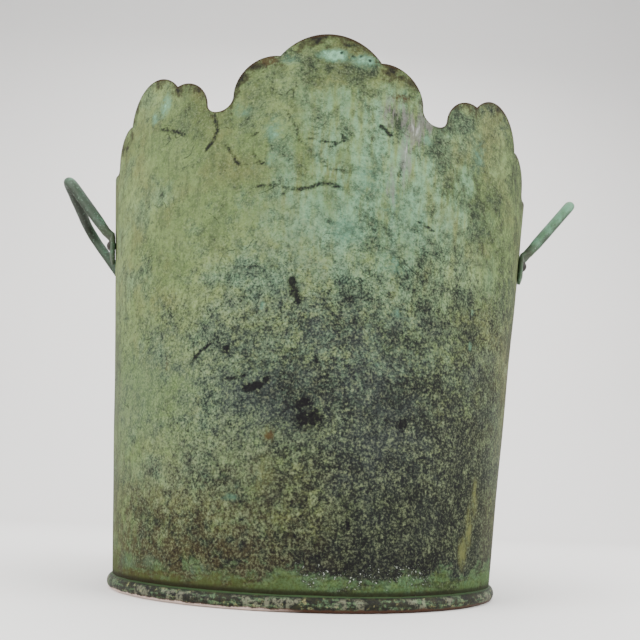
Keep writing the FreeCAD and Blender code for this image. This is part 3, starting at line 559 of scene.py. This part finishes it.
# %% Frames of the handle feet on the wall
HALF_SPAN = 26.0
RIVET_SHARE = 0.801  # of the wall's height
RIVET_HEIGHT = BEAD_TOP + RIVET_SHARE * WALL_HEIGHT
LEAN = math.radians(40.0)
BEND, ROD = 11.0, 2.8  # radius of the bends, and of the rod
TAB_HALF, TAB_THICKNESS = 4.5, 2.4  # the flat foot
TAB_ABOVE, TAB_BELOW = 4.5, 10.0  # how far it goes above and below the rivet
NECK_RISE, NECK_STAND = 6.2, 3.4  # where the round rod begins: up the wall from the rivet, and off it


def unit(vectors):
    """Vectors divided by their own lengths."""
    return vectors / np.linalg.norm(vectors, axis=-1, keepdims=True)


def foot_frame(side, y, height):
    """Place on the wall, the way up it, and its outward normal, from the slope of the cone's equation."""
    half_length, half_width = half_axes(height)
    x = side * half_length * math.sqrt(1 - (y / half_width) ** 2)
    lean = -(x ** 2 * FLARES[0] / half_length ** 3 + y ** 2 * FLARES[1] / half_width ** 3)
    normal = unit(np.array([x / half_length ** 2, y / half_width ** 2, lean]))
    climb = unit(np.array([0, 0, 1.0]) - normal * normal[2])
    return np.array([x, y, height]), climb, normal


print(f"rivets of the handles: {RIVET_HEIGHT:.1f} mm high, {2 * HALF_SPAN} mm apart")


# %% Middle line of a handle
LEG_POINTS, BEND_POINTS, GRIP_POINTS, TAB_POINTS = 16, 14, 20, 15
TIP_ROUND, TIP_TAPER = 3.6, 5.0  # mm from the tip in which it gets its full width and thickness
TIP_THICK = 0.55  # thickness at the tip, over the foot's


def between(start, finish, count):
    """Points strictly between two points."""
    return start + (finish - start) * np.linspace(0, 1, count + 2)[1:-1, None]


def rod_path(side, feet, leg):
    """The round part of the rod: up one leg, round a bend, across the grip, and down the other leg."""
    direction = np.array([side * math.sin(LEAN), 0, math.cos(LEAN)])
    starts = [place + climb * NECK_RISE + normal * NECK_STAND for place, climb, normal in feet]
    reach = starts[1] - starts[0]
    along = reach - direction * (reach @ direction)
    top = starts[0] + direction * leg
    far_top = top + along
    along = unit(along)
    arc = np.linspace(0, math.pi / 2, BEND_POINTS)[:, None]
    sine, cosine = BEND * np.sin(arc), BEND * np.cos(arc)
    near_bend = top + (along - direction) * BEND - along * cosine + direction * sine
    far_bend = far_top - (along + direction) * BEND + along * sine + direction * cosine
    line = np.concatenate([
        between(starts[0], near_bend[0], LEG_POINTS), near_bend,
        between(near_bend[-1], far_bend[0], GRIP_POINTS), far_bend,
        between(far_bend[-1], starts[1], LEG_POINTS),
    ])
    return line, side * np.cross(along, direction)


def foot_run(foot):
    """The flat foot from its rounded, thinned tip to the neck: middle line, half widths, half thicknesses."""
    place, climb, normal = foot
    from_tip = (TAB_BELOW + TAB_ABOVE) * np.linspace(0, 1, TAB_POINTS)
    wide = TAB_HALF * np.sqrt(np.clip(1 - (1 - np.clip(from_tip / TIP_ROUND, 0, 1)) ** 2, 0.02, 1))
    thick = TAB_THICKNESS / 2 * (TIP_THICK + (1 - TIP_THICK) * np.clip(from_tip / TIP_TAPER, 0, 1))
    middle = place + climb * (from_tip - TAB_BELOW)[:, None] + normal * (FIT + thick)[:, None]
    return middle, wide, thick


# %% A hammered section carried along that line
ROUND_OFF = 9.0  # mm of rod in which the hammered flat turns round
FLAT_WIDE, FLAT_THICK, ROUND = 1.22, 0.80, 0.98  # half sizes of the section, over the rod's radius
WAVER, WAVERS, WAVER_RATES = 0.03, 5, (0.15, 0.7)  # strength, number and radians per mm of its waves
SQUARE, SQUARE_FROM, SQUARE_OVER = 0.45, 1.2, 1.5  # how squarish, and from which flatness it sets in
ROD_PLACES = 24


def hammered_rod(name, side, drops, leg, rod_darkening, seed):
    """A squarish flat section that turns into a circle: |cos| and |sin| to a power that nears one.

    drops lower the front and the rear foot, and the rod's darkening, from 0 up, says how much darker the
    whole rod is drawn.
    """
    feet = [foot_frame(side, depth * HALF_SPAN, RIVET_HEIGHT - drop) for depth, drop in zip((-1, 1), drops)]
    line, outward = rod_path(side, feet, leg)
    (first, first_wide, first_thick), (last, last_wide, last_thick) = (foot_run(foot) for foot in feet)
    middle = np.concatenate([first, line, last[::-1]])
    travel = np.concatenate([[0], np.cumsum(np.linalg.norm(np.diff(line, axis=0), axis=1))])
    near_foot = np.clip(np.minimum(travel, travel[-1] - travel) / ROUND_OFF, 0, 1)
    rounding = near_foot * near_foot * (3 - 2 * near_foot)
    draw = np.random.default_rng(seed)
    waver = sum(
        np.sin(travel * draw.uniform(*WAVER_RATES) + draw.uniform(0, 2 * math.pi))
        for _ in range(WAVERS)) / WAVERS
    rod_wide = ROD * (FLAT_WIDE + (ROUND - FLAT_WIDE) * rounding + WAVER * waver)
    rod_thick = ROD * (FLAT_THICK + (ROUND - FLAT_THICK) * rounding + WAVER * waver)
    wide = np.concatenate([first_wide, rod_wide, last_wide[::-1]])[:, None]
    thick = np.concatenate([first_thick, rod_thick, last_thick[::-1]])[:, None]
    forward = unit(np.gradient(middle, axis=0))
    facing = np.concatenate([
        np.repeat(feet[0][2][None], len(first), 0), np.repeat(outward[None], len(line), 0),
        np.repeat(feet[1][2][None], len(last), 0),
    ])
    facing = unit(facing - forward * np.sum(facing * forward, axis=1, keepdims=True))
    beside = np.cross(forward, facing)
    power = 1 - SQUARE * np.clip((wide / thick - SQUARE_FROM) / SQUARE_OVER, 0, 1)
    turns = np.linspace(0, 2 * math.pi, ROD_PLACES, endpoint=False)[None, :]
    cosine, sine = np.cos(turns), np.sin(turns)
    sideways = wide * np.sign(cosine) * np.abs(cosine) ** power
    through = thick * np.sign(sine) * np.abs(sine) ** power
    points = middle[:, None] + beside[:, None] * sideways[..., None] + facing[:, None] * through[..., None]
    piece = surface(name, points)
    foot_share = np.concatenate([np.ones(len(first)), 1 - rounding, np.ones(len(last))])[:, None]
    # under is how far the section faces down: the share of painted shade on the rod's underside.
    under = 0.5 - 0.5 * (facing[:, None, 2] * sine + beside[:, None, 2] * cosine)
    paint(piece, "wear_and_shade", [foot_share + 0 * turns, under, rod_darkening + 0 * under])
    return piece


left_handle = hammered_rod("left_rod_handle", -1, drops=(2.0, 17.0), leg=44.0, rod_darkening=1.2, seed=3)
right_handle = hammered_rod("right_rod_handle", 1, drops=(0.0, 0.0), leg=47.0, rod_darkening=0.15, seed=5)

# %% [markdown]
# ## Verdigris
#
# Copper outdoors grows a crust of basic copper salts. It is matte, never metallic, and it isn't one
# green: sage where it is thick, milky turquoise where water stood, olive to charcoal where it has
# flaked down to the dark oxide. Rain and handling sort these by height, so the upper wall is even and
# pale, and the middle is a dense salt-and-pepper. Five helpers build that: a cloudy pattern of a real
# size, a sum of patterns, a painted mark with a frayed edge, a zone between two heights or two sides,
# and a colour laid over another where a pattern is strong. An image of a real wall would be quicker, but
# it would repeat, and it would carry its own light.

# %% Patterns and layers
def blotches(tree, place, size_mm, detail=4.0, tall=1.0, shift=0.0, crumbly=0.64):
    """A cloudy pattern around one half, whose blotches are about size_mm wide and tall times as high.

    Each further octave halves the size, and crumbly is its strength against the one before.
    """
    rate = 1 / (MM * size_mm)
    moved = add_node(tree, "ShaderNodeMapping", {
        "Vector": place, "Location": (shift, 0.7 * shift, 1.3 * shift), "Scale": (rate, rate, rate / tall)})
    cloud = add_node(tree, "ShaderNodeTexNoise", {
        "Vector": moved.outputs[0], "Scale": 1.0, "Detail": detail, "Roughness": crumbly})
    return cloud.outputs[0]


def mixed(tree, start, *terms):
    """A start value plus each pattern, centred on zero, times its weight."""
    total = start
    for pattern, weight in terms:
        part = add_node(tree, "ShaderNodeMath", {
            0: pattern, 1: weight, 2: -weight / 2}, operation="MULTIPLY_ADD")
        total = add_node(tree, "ShaderNodeMath", {0: total, 1: part.outputs[0]}).outputs[0]
    return total


def frayed(tree, mark, *terms):
    """A painted mark times one plus patterns: its edge is ragged, and nothing appears away from it."""
    factor = mixed(tree, 1.0, *terms)
    return add_node(tree, "ShaderNodeMath", {0: mark, 1: factor}, operation="MULTIPLY").outputs[0]


def lay(tree, under, layers):
    """Lay colours over a first one.

    A layer is (pattern, level where it starts, level where it is full, hex, most that it covers).
    """
    for pattern, start, full, hex_code, most in layers:
        cover = add_node(tree, "ShaderNodeMapRange", {
            "Value": pattern, "From Min": start, "From Max": full, "To Max": most},
            interpolation_type="SMOOTHSTEP")
        under = add_node(tree, "ShaderNodeMix", {0: cover.outputs[0], 6: under, 7: linear(hex_code)},
                         data_type="RGBA").outputs[2]
    return under


def zone(tree, value, edges, most=1.0):
    """A mask that rises between the first two edges and falls between the last two."""
    rise = add_node(tree, "ShaderNodeMapRange", {
        "Value": value, "From Min": edges[0], "From Max": edges[1], "To Max": most}).outputs[0]
    fall = add_node(tree, "ShaderNodeMapRange", {
        "Value": value, "From Min": edges[3], "From Max": edges[2]}).outputs[0]
    return add_node(tree, "ShaderNodeMath", {0: rise, 1: fall}, operation="MULTIPLY").outputs[0]


# %% A material, its millimetres and its relief
BUMP = 0.7


def new_material(name, roughness, specular, metallic=0.0):
    """A material with its tree, its shader and the object coordinates that its patterns read."""
    material = bpy.data.materials.new(name)
    material.use_nodes = True
    shader = material.node_tree.nodes["Principled BSDF"]
    settings = {"Roughness": roughness, "Specular IOR Level": specular, "Metallic": metallic}
    for socket, number in settings.items():
        shader.inputs[socket].default_value = number
    place = add_node(material.node_tree, "ShaderNodeTexCoord").outputs["Object"]
    return material, material.node_tree, shader, place


def across_and_up(tree, place):
    """Object coordinates in mm: x across the bucket and z up it."""
    in_mm = add_node(tree, "ShaderNodeVectorMath", {0: place, "Scale": 1 / MM}, operation="SCALE")
    split = add_node(tree, "ShaderNodeSeparateXYZ", {0: in_mm.outputs[0]})
    return split.outputs[0], split.outputs[2]


def connect(tree, shader, colour, relief, depth_mm):
    """Link a colour and a relief, whose bumps are about depth_mm deep, to the shader."""
    bump = add_node(tree, "ShaderNodeBump", {"Strength": BUMP, "Distance": depth_mm * MM, "Height": relief})
    tree.links.new(colour, shader.inputs["Base Color"])
    tree.links.new(bump.outputs[0], shader.inputs["Normal"])


# %% The wall's skin: where a point is, and what is painted there
# Copper salts on sheet are a powdery crust, so the eye gets a dull skin with hardly any gloss.
wall_skin, tree, shader, place = new_material("old_verdigris_on_sheet_copper", 0.8, 0.10)
x, z = across_and_up(tree, place)
marks = add_node(tree, "ShaderNodeAttribute", attribute_name="marks")
mark_parts = add_node(tree, "ShaderNodeSeparateColor", {0: marks.outputs["Color"]})
to_rim, dark_mark, cloud_mark = mark_parts.outputs[:3]
rub_mark = marks.outputs["Alpha"]
stains = add_node(tree, "ShaderNodeAttribute", attribute_name="stains")
stain_parts = add_node(tree, "ShaderNodeSeparateColor", {0: stains.outputs["Color"]})
yellow_mark, brown_mark, flaked_mark = stain_parts.outputs[:3]
# Share of a painted grey reflection, growing towards both ends of the oval.
end_reflection_share = stains.outputs["Alpha"]

# %% Patterns of the crust, by the size in mm of what they draw
# Clouds of colour are 17 to 60 mm wide and flakes about 4 to 6 mm. Single grains of verdigris are a few
# tenths of a millimetre, too fine to show here, so grain and pepper draw them as 0.9 and 1.9 mm.
broad = blotches(tree, place, 60)
tints = blotches(tree, place, 26, 6, shift=9.4)
bends = blotches(tree, place, 22, 1.5, shift=14.9)
patches = blotches(tree, place, 17, 5, shift=3.1)
crust = blotches(tree, place, 5.5, 7, shift=6.1, crumbly=0.88)
small = blotches(tree, place, 4.2, 5, shift=7.7)
chalk = blotches(tree, place, 3.6, 6, shift=11.3, crumbly=0.88)
pepper = blotches(tree, place, 1.9, 5, shift=5.9)
grain = blotches(tree, place, 0.9, 3, shift=4.6)
runs = blotches(tree, place, 4.0, 4, tall=9, shift=2.2)
streaks = blotches(tree, place, 1.6, 4, tall=12, shift=8.8)
level_runs = blotches(tree, place, 16.0, 4, tall=0.16, shift=6.4)

# %% Age: about 0 high on the wall, where the crust is whole, and 2 low down on the right, where it has flaked
low_down = add_node(tree, "ShaderNodeMapRange", {"Value": z, "From Min": 152, "From Max": 92}).outputs[0]
rightward = add_node(tree, "ShaderNodeMapRange", {
    "Value": x, "From Min": -75, "From Max": 50, "To Min": 0.45, "To Max": 1.38}).outputs[0]
sorted_by_rain = add_node(tree, "ShaderNodeMath", {
    0: low_down, 1: rightward, 2: flaked_mark}, operation="MULTIPLY_ADD").outputs[0]
age = mixed(tree, sorted_by_rain, (rightward, 0.1), (broad, 1.2), (patches, 1.6), (small, 1.0))
dirt = mixed(tree, age, (crust, 5.7), (pepper, 2.4), (grain, 2.2))
flecks = mixed(tree, chalk, (age, -0.042))

# How strongly light and dark grains stand out: with age, and less on the calm left edge.
aged = add_node(tree, "ShaderNodeMapRange", {
    "Value": age, "From Min": 0.0, "From Max": 0.9, "To Min": 0.14, "To Max": 0.84}).outputs[0]
calm_left = add_node(tree, "ShaderNodeMapRange", {
    "Value": x, "From Min": -85, "From Max": -45, "To Min": 0.35, "To Max": 1.0}).outputs[0]
contrast = add_node(tree, "ShaderNodeMath", {0: aged, 1: calm_left}, operation="MULTIPLY").outputs[0]
sparkle = add_node(tree, "ShaderNodeMath", {0: contrast, 1: 0.36}, operation="MULTIPLY").outputs[0]
cool = add_node(tree, "ShaderNodeMapRange", {
    "Value": age, "From Min": 0.4, "From Max": 1.2, "To Max": 0.5}).outputs[0]

# %% Frayed marks and wavering edges
# A pattern that is added to a height or a distance makes the edge of a zone waver instead of run straight.
near_floor = add_node(tree, "ShaderNodeMapRange", {"Value": z, "From Min": 60, "From Max": 12}).outputs[0]
grime = mixed(tree, near_floor, (patches, 2.5), (crust, 3.0), (rightward, 0.75))
milky = mixed(tree, patches, (broad, 0.6), (crust, 0.6))
dark_scab = frayed(tree, dark_mark, (small, 1.8), (pepper, 2.0), (grain, 1.2))
brown_scab = frayed(tree, brown_mark, (small, 2.6), (pepper, 2.6), (grain, 1.5))
cloud = frayed(tree, cloud_mark, (patches, 2.0), (small, 3.0), (pepper, 2.0))
rub = frayed(tree, rub_mark, (small, 1.5), (runs, 3.0), (streaks, 6.0))
yellow = frayed(tree, yellow_mark, (small, 2.5), (streaks, 3.0), (pepper, 2.5))
wavy_z = mixed(tree, z, (patches, 30), (small, 22), (pepper, 10))
wavy_rim = mixed(tree, to_rim, (small, 1.6), (patches, 2.4), (pepper, 0.8))
rim_edge = mixed(tree, to_rim, (small, 0.12), (patches, 0.16))
wavy_end_reflection = mixed(tree, end_reflection_share, (patches, 0.25), (runs, 0.3))
washed_x = mixed(tree, x, (patches, 80), (tints, 80))
washed_z = mixed(tree, z, (patches, 80), (tints, 80))

# %% Zones in mm: across the bucket from its middle, and up from the floor
milk_share = add_node(tree, "ShaderNodeMapRange", {
    "Value": x, "From Min": -90, "From Max": -30, "To Min": 0.30, "To Max": 0.70}).outputs[0]
mint_wash = zone(tree, washed_x, (-30, 8, 40, 75), zone(tree, washed_z, (95, 145, 192, 215), 0.70))
mint_flecks = zone(tree, washed_x, (-50, -10, 30, 55), zone(tree, washed_z, (50, 80, 135, 165), 0.34))
crown_dirt = zone(tree, x, (-110, -60, 45, 70), zone(tree, z, (165, 195, 300, 310), 0.60))
# Painted reflection: low on the left and right edges the wall is drawn lighter and greyer, as if it caught
# the pale room.
left_edge_reflection = zone(tree, washed_x, (-200, -150, -45, 0), zone(tree, z, (30, 45, 85, 110), 0.22))
right_edge_reflection = zone(tree, x, (64, 88, 200, 300), zone(tree, z, (10, 30, 100, 130), 0.40))
low_flecks = zone(tree, z, (8, 16, 52, 75), 0.42)
low_left = zone(tree, wavy_z, (0, 1, 20, 70), zone(tree, x, (-200, -100, -30, 20), 0.6))
foot_left = zone(tree, x, (-200, -100, -35, 10), 0.70)
foot_band = zone(tree, wavy_z, (0, 1, 10, 14), 0.60)
tide_dark = zone(tree, wavy_z, (9.5, 12, 16, 23), zone(tree, x, (-20, 6, 45, 62), 0.6))
tide_specks = zone(tree, wavy_z, (10, 11.5, 13.5, 15), zone(tree, x, (-8, 6, 40, 50), 0.9))
# Hairlines run where a slow pattern passes one half, in a few patches only.
hairline = zone(tree, bends, (0.4955, 0.4985, 0.5015, 0.5045),
                zone(tree, patches, (0.50, 0.54, 0.58, 0.62), 0.75))

# %% Colours of the whole crust, then of the oxide where it has flaked
SAGE, PALE, OLIVE, MILK, MOSS = "#586a3e", "#718050", "#5c5a33", "#588068", "#333c28"
SHADE, CHARCOAL, SOOT, FLECK, BROWN = "#262a26", "#191b1a", "#0d0b0e", "#69785a", "#2c2012"

colour = lay(tree, linear(SAGE), [
    (broad, 0.40, 0.62, PALE, 0.85),
    (tints, 0.47, 0.66, OLIVE, 0.55),
    (milky, 0.48, 0.74, MILK, milk_share),
    (runs, 0.47, 0.68, MOSS, 0.50),
    (runs, 0.34, 0.60, "#6e9a7c", mint_wash),
    (patches, 0.46, 0.64, "#454b27", crown_dirt),
    (crust, 0.40, 0.68, MOSS, 0.60),
    (pepper, 0.42, 0.70, MOSS, 0.40),
])
colour = lay(tree, colour, [
    (dirt, -0.05, 2.10, SHADE, 0.95),
    (dirt, 0.80, 3.00, CHARCOAL, 0.92),
    (tints, 0.56, 0.40, "#343a3a", cool),
    # Painted reflection along the lower left and right edges.
    (tints, 0.30, 0.60, "#52665a", left_edge_reflection),
    (tints, 0.30, 0.60, "#6a6845", right_edge_reflection),
    (flecks, 0.45, 0.66, FLECK, contrast),
    (flecks, 0.40, 0.60, "#54705e", mint_flecks),
    (grime, 0.20, 1.20, "#131510", 0.70),
    (small, 0.36, 0.60, "#3c331d", low_left),
    (chalk, 0.52, 0.63, "#6b7454", low_flecks),
    (grain, 0.44, 0.74, SOOT, contrast),
    (grain, 0.50, 0.30, "#7f8668", 0.28),
    (pepper, 0.42, 0.32, "#828b66", sparkle),
])

# %% Colours of the placed marks
colour = lay(tree, colour, [
    (hairline, 0.10, 0.60, SOOT, 0.60),
    # Painted reflection: the wall's ends are greyed, as where it turns away it catches the pale room.
    (wavy_end_reflection, 0.80, 1.02, "#454434", 0.40),
    (cloud, 0.20, 1.15, MILK, 0.65),
    (cloud, 0.90, 1.60, "#74a183", 0.75),
    (yellow, 0.15, 1.30, "#5e6138", 0.70),
    (rub, 0.20, 0.90, "#66635f", 0.60),
    (rub, 1.00, 1.80, "#9a9d98", 0.65),
    (brown_scab, 0.25, 0.95, "#3a2a17", 0.75),
    (dark_scab, 0.15, 1.00, SOOT, 0.92),
])

# %% Colours of the foot and rim: green band, tide line and painted crease shade below, dark and bare copper above
colour = lay(tree, colour, [
    (level_runs, 0.36, 0.54, "#4f6c49", foot_band),
    (pepper, 0.46, 0.60, "#4c5a30", foot_band),
    (patches, 0.49, 0.62, BROWN, foot_band),
    (grain, 0.44, 0.66, "#1f2414", foot_band),
    (wavy_z, 12.0, 7.2, "#3b3118", foot_left),
    (wavy_z, 9.0, 6.6, "#33421d", 0.45),
    (small, 0.70, 0.44, SOOT, tide_dark),
    (grain, 0.59, 0.65, "#a3a89e", tide_specks),
    # Painted shade: a near-black line in the crease just above the bead.
    (z, 7.8, 6.2, "#16110a", 0.80),
    (wavy_rim, 0.30, -0.05, "#292618", 0.80),
    (wavy_rim, 0.00, -0.30, SOOT, 0.80),
    (rim_edge, 0.060, 0.015, BROWN, 0.92),
])
pitted = mixed(tree, small, (pepper, 0.9), (grain, 0.4), (dark_mark, -0.8), (dirt, -0.1))
connect(tree, shader, colour, pitted, 0.3)
print(f"the wall's skin has {len(tree.nodes)} nodes")

# %% [markdown]
# ## The other finishes
#
# Away from the rain the copper is brown: cuprite, a thin warm oxide with a little sheen. The bead is
# nearly black where it meets the wall and rubbed to raw copper underneath, and along its lower left edge
# it carries a painted reflection of the pale floor. The rods are pale from hands and weather, and their
# feet stay dark; their undersides carry painted shade, and the left rod is drawn darker as a whole. Iron
# rusts, and solder goes a dull grey. One shared material would be less work, but each of these metals
# has weathered in its own way, and the eye tells them apart.

# %% Rolled bead: dark crease on top, pale crust on its brow, bare copper where it rubs, painted floor reflection
# Thin crust over hard oxide, rubbed smoother than the wall: a faint gloss on nearly black.
bead_skin, tree, shader, place = new_material("dark_verdigris_on_rolled_bead", 0.6, 0.16)
x, z = across_and_up(tree, place)
smudges = blotches(tree, place, 6, 5)
long_runs = blotches(tree, place, 9, 5, tall=0.14, shift=3.0)
spots = blotches(tree, place, 2.2, 4, shift=5.0)
grit = blotches(tree, place, 1.0, 3, shift=8.0)
brow = zone(tree, z, (0.6, 1.4, 4.4, 5.2), 0.85)
brow_crust = zone(tree, z, (0.8, 1.6, 4.2, 5.0), 0.45)
# How much painted reflection of the pale floor the bead's lower edge gets, rising to the left.
floor_reflection_share = add_node(tree, "ShaderNodeMapRange", {
    "Value": x, "From Min": 0, "From Max": -20, "To Max": 0.85}).outputs[0]
mint = mixed(tree, long_runs, (spots, 0.8), (grit, 0.3))
rubbed_and_floor_reflection = mixed(tree, z, (smudges, 2.2), (grit, 1.0))
colour = lay(tree, linear("#12140d"), [
    (smudges, 0.44, 0.64, "#2a2a17", 0.8),
    (mint, 0.49, 0.60, "#4a5f42", brow),
    (spots, 0.57, 0.66, "#6d6844", brow),
    (smudges, 0.48, 0.40, "#7c7d66", brow_crust),
    (grit, 0.47, 0.62, SOOT, 0.80),
    (z, 4.9, 5.3, "#33482a", 0.7),
    # Bare copper where the bead rubs, then a painted reflection of the bright floor: pale pink along its
    # lower left edge.
    (rubbed_and_floor_reflection, 1.6, 0.9, "#3d2313", 0.9),
    (rubbed_and_floor_reflection, 1.3, 0.7, "#cdb9ae", floor_reflection_share),
])
connect(tree, shader, colour, mixed(tree, smudges, (grit, 0.6)), 0.3)

# %% Rods: pale verdigris, dark at the feet, with painted shade below, and the left rod drawn darker
# Hands have polished the crust, so the eye gets a soft shine along the rod.
rod_skin, tree, shader, place = new_material("pale_verdigris_on_copper_rod", 0.62, 0.3)
wear_and_shade = add_node(tree, "ShaderNodeAttribute", attribute_name="wear_and_shade")
wear_and_shade_parts = add_node(tree, "ShaderNodeSeparateColor", {0: wear_and_shade.outputs["Color"]})
smudges = blotches(tree, place, 9, 5)
grit = blotches(tree, place, 1.2, 3, shift=2.0)
# Painted shade: the rod is drawn darker where its section faces down.
painted_shade_below = mixed(tree, wear_and_shade_parts.outputs[1], (smudges, 0.5), (grit, 0.3))
dark_foot = mixed(tree, wear_and_shade_parts.outputs[0], (smudges, 1.0), (grit, 0.4))
# Darker over the whole rod by its own number, plus more painted shade on the underside.
rod_darkening = mixed(tree, wear_and_shade_parts.outputs[2], (smudges, 2.4), (grit, 1.4), (wear_and_shade_parts.outputs[1], 0.8))
colour = lay(tree, linear("#497559"), [
    (smudges, 0.42, 0.62, "#3a5a3a", 0.8),
    (grit, 0.50, 0.66, "#1d2a1c", 0.55),
    (rod_darkening, 0.30, 1.10, "#202b1b", 0.90),
    (painted_shade_below, 0.50, 0.86, "#161c10", 0.9),
    (dark_foot, 0.45, 0.95, "#26331a", 0.80),
    (dark_foot, 0.95, 1.20, "#1e1a0e", 0.75),
    (grit, 0.60, 0.68, "#70907a", 0.5),
])
connect(tree, shader, colour, mixed(tree, smudges, (grit, 0.5)), 0.3)


# %% Oxides where no weather reaches
def oxide(name, dark, light, spot, size_mm, roughness=0.6, metallic=0.0):
    """Two tones in soft blotches, with vertical runs, small spots of a third tone and a fine grain.

    A smooth thin film: the eye gets a dull warm shine. The grain is drawn at 1.2 mm so that it shows.
    """
    material, tree, shader, place = new_material(name, roughness, 0.3, metallic)
    clouds = blotches(tree, place, size_mm, 5)
    drips = blotches(tree, place, size_mm / 3, 4, tall=6, shift=3.3)
    spots = blotches(tree, place, size_mm / 4, 4, shift=8.2)
    fine = blotches(tree, place, 1.2, 3, shift=4.4)
    colour = lay(tree, linear(dark), [
        (clouds, 0.38, 0.62, light, 1.0), (drips, 0.52, 0.70, dark, 0.6),
        (spots, 0.58, 0.68, spot, 0.8), (fine, 0.50, 0.70, dark, 0.45),
    ])
    connect(tree, shader, colour, mixed(tree, fine, (clouds, 1.0), (spots, 0.6)), 0.25)
    return material


inside_brown = oxide("brown_oxide_inside", "#2e2116", "#4d3a25", "#46583f", 16)
bottom_brown = oxide("brown_oxide_on_bottom_pan", "#2a2017", "#46351f", "#3c4d39", 12)
rivet_brown = oxide("brown_oxide_on_rivets", "#120d09", "#21190f", "#26331f", 3)
# Rust hides most of the iron's shine, and soft solder keeps a dull one.
wire_iron = oxide("rusted_iron_wire", "#1b1613", "#38271c", "#5a3520", 4, 0.7, 0.4)
solder_grey = oxide("dull_soft_solder", "#3d3e3c", "#64655f", "#7c7d76", 6, 0.5, 0.5)
print("finishes:", ", ".join(sorted(material.name for material in bpy.data.materials)))


# %% Give each piece its finish and its CAD body
def finish(piece, materials, node, slot):
    """Hang the materials on a piece, and let it ride the body and take the place of its CAD solid."""
    for material in materials:
        piece.data.materials.append(material)
    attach(piece, "root")
    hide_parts(node)


finish(front_sheet, [wall_skin, inside_brown], "front_wall", "green_copper")
finish(back_sheet, [wall_skin, inside_brown], "back_wall", "green_copper")
finish(rolled_bead, [bead_skin], "foot_bead", "dark_copper")
finish(left_handle, [rod_skin], "left_handle", "handle_copper")
finish(right_handle, [rod_skin], "right_handle", "handle_copper")

KEPT = {"bottom_pan": bottom_brown, "pan_solder": solder_grey, "foot_wire": wire_iron}
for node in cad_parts:
    if "rivet" in node:
        KEPT[node] = rivet_brown
for node, material in KEPT.items():
    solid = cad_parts[node]
    solid.data.materials.clear()
    solid.data.materials.append(material)
print("CAD solids kept with a new finish:", ", ".join(sorted(KEPT)))

# %% [markdown]
# ## Studio
#
# The photograph was taken close, with a wide lens, from near the foot and looking up. The place of the
# camera was fitted to the oval foot, the side edges and the rim, and it is written here as a point, a
# heading, a pitch and a roll. The surroundings are a pale sweep of floor and wall, and soft light. Two
# large windows and a ceiling give the broad, even light of a room, and one small lamp would not.

# %% Camera
camera_data = bpy.data.cameras.new("camera")
camera = bpy.data.objects.new("camera", camera_data)
bpy.context.scene.collection.objects.link(camera)
bpy.context.scene.camera = camera
CAMERA_PLACE = Vector((-2.88, -277.3, 33.6)) * MM
HEADING, PITCH, ROLL = -0.0410, 0.3432, 0.0407
look = Vector((-math.sin(HEADING) * math.cos(PITCH), math.cos(HEADING) * math.cos(PITCH), math.sin(PITCH)))
level = Vector((math.cos(HEADING), math.sin(HEADING), 0))
above = level.cross(look)
right = level * math.cos(ROLL) + above * math.sin(ROLL)
up = above * math.cos(ROLL) - level * math.sin(ROLL)
camera.matrix_world = Matrix.Translation(CAMERA_PLACE) @ Matrix((right, up, -look)).transposed().to_4x4()
camera_data.sensor_width = 36.0
camera_data.lens = 30.375  # mm, a wide lens on that sensor
camera_data.shift_x, camera_data.shift_y = -0.01805, -0.00237
camera_data.clip_start = 0.01
print("camera", [round(part / MM, 1) for part in camera.location], "mm, lens", camera_data.lens, "mm")

# %% Floor that sweeps up into a wall: flat runs joined by a quarter circle
FLOOR_FRONT, FLOOR_BACK, SWEEP_RADIUS, SWEEP_TOP, SWEEP_HALF = -2000, 700, 500, 4000, 3000
FLOOR_POINTS, SWEEP_POINTS = 8, 24

sweep_turn = np.linspace(0, math.pi / 2, SWEEP_POINTS)[1:]
sweep_depth = np.concatenate([
    np.linspace(FLOOR_FRONT, FLOOR_BACK, FLOOR_POINTS), FLOOR_BACK + SWEEP_RADIUS * np.sin(sweep_turn),
    [FLOOR_BACK + SWEEP_RADIUS]])
sweep_height = np.concatenate([
    np.zeros(FLOOR_POINTS), SWEEP_RADIUS - SWEEP_RADIUS * np.cos(sweep_turn), [SWEEP_TOP]])
sweep_across = np.linspace(-SWEEP_HALF, SWEEP_HALF, 5)
sweep_points = np.stack(np.broadcast_arrays(
    sweep_across[None, :], sweep_depth[:, None], sweep_height[:, None]), axis=-1)
backdrop = surface("pale_sweep", sweep_points, ring=False)
# Uncoated paper scatters light evenly, so the floor shows soft shadows and no glare.
paper, _, shader, _ = new_material("matte_pale_paper", 0.9, 0.2)
shader.inputs["Base Color"].default_value = linear("#eeece9")
backdrop.data.materials.append(paper)


# %% Lights
def soft_light(name, place_mm, target_mm, size_mm, watts):
    """A round area light at one place that faces another."""
    data = bpy.data.lights.new(name, "AREA")
    data.shape, data.size, data.energy = "DISK", size_mm * MM, watts
    lamp = bpy.data.objects.new(name, data)
    bpy.context.scene.collection.objects.link(lamp)
    place, target = Vector(place_mm) * MM, Vector(target_mm) * MM
    turned = (place - target).to_track_quat("Z", "Y").to_matrix().to_4x4()
    lamp.matrix_world = Matrix.Translation(place) @ turned
    print(f"{name}: {watts} W over {size_mm} mm, {(place - target).length:.2f} m away")


soft_light("window_left", (-1000, -700, 700), (0, 0, 110), 900, 24)
soft_light("window_right", (1000, -500, 600), (0, 0, 110), 900, 20)
soft_light("ceiling", (0, -100, 1500), (0, 0, 0), 1600, 26)

world = bpy.data.worlds.new("pale_room")
bpy.context.scene.world = world
world.use_nodes = True
world.node_tree.nodes["Background"].inputs["Color"].default_value = (0.95, 0.96, 0.98, 1.0)
world.node_tree.nodes["Background"].inputs["Strength"].default_value = 0.9
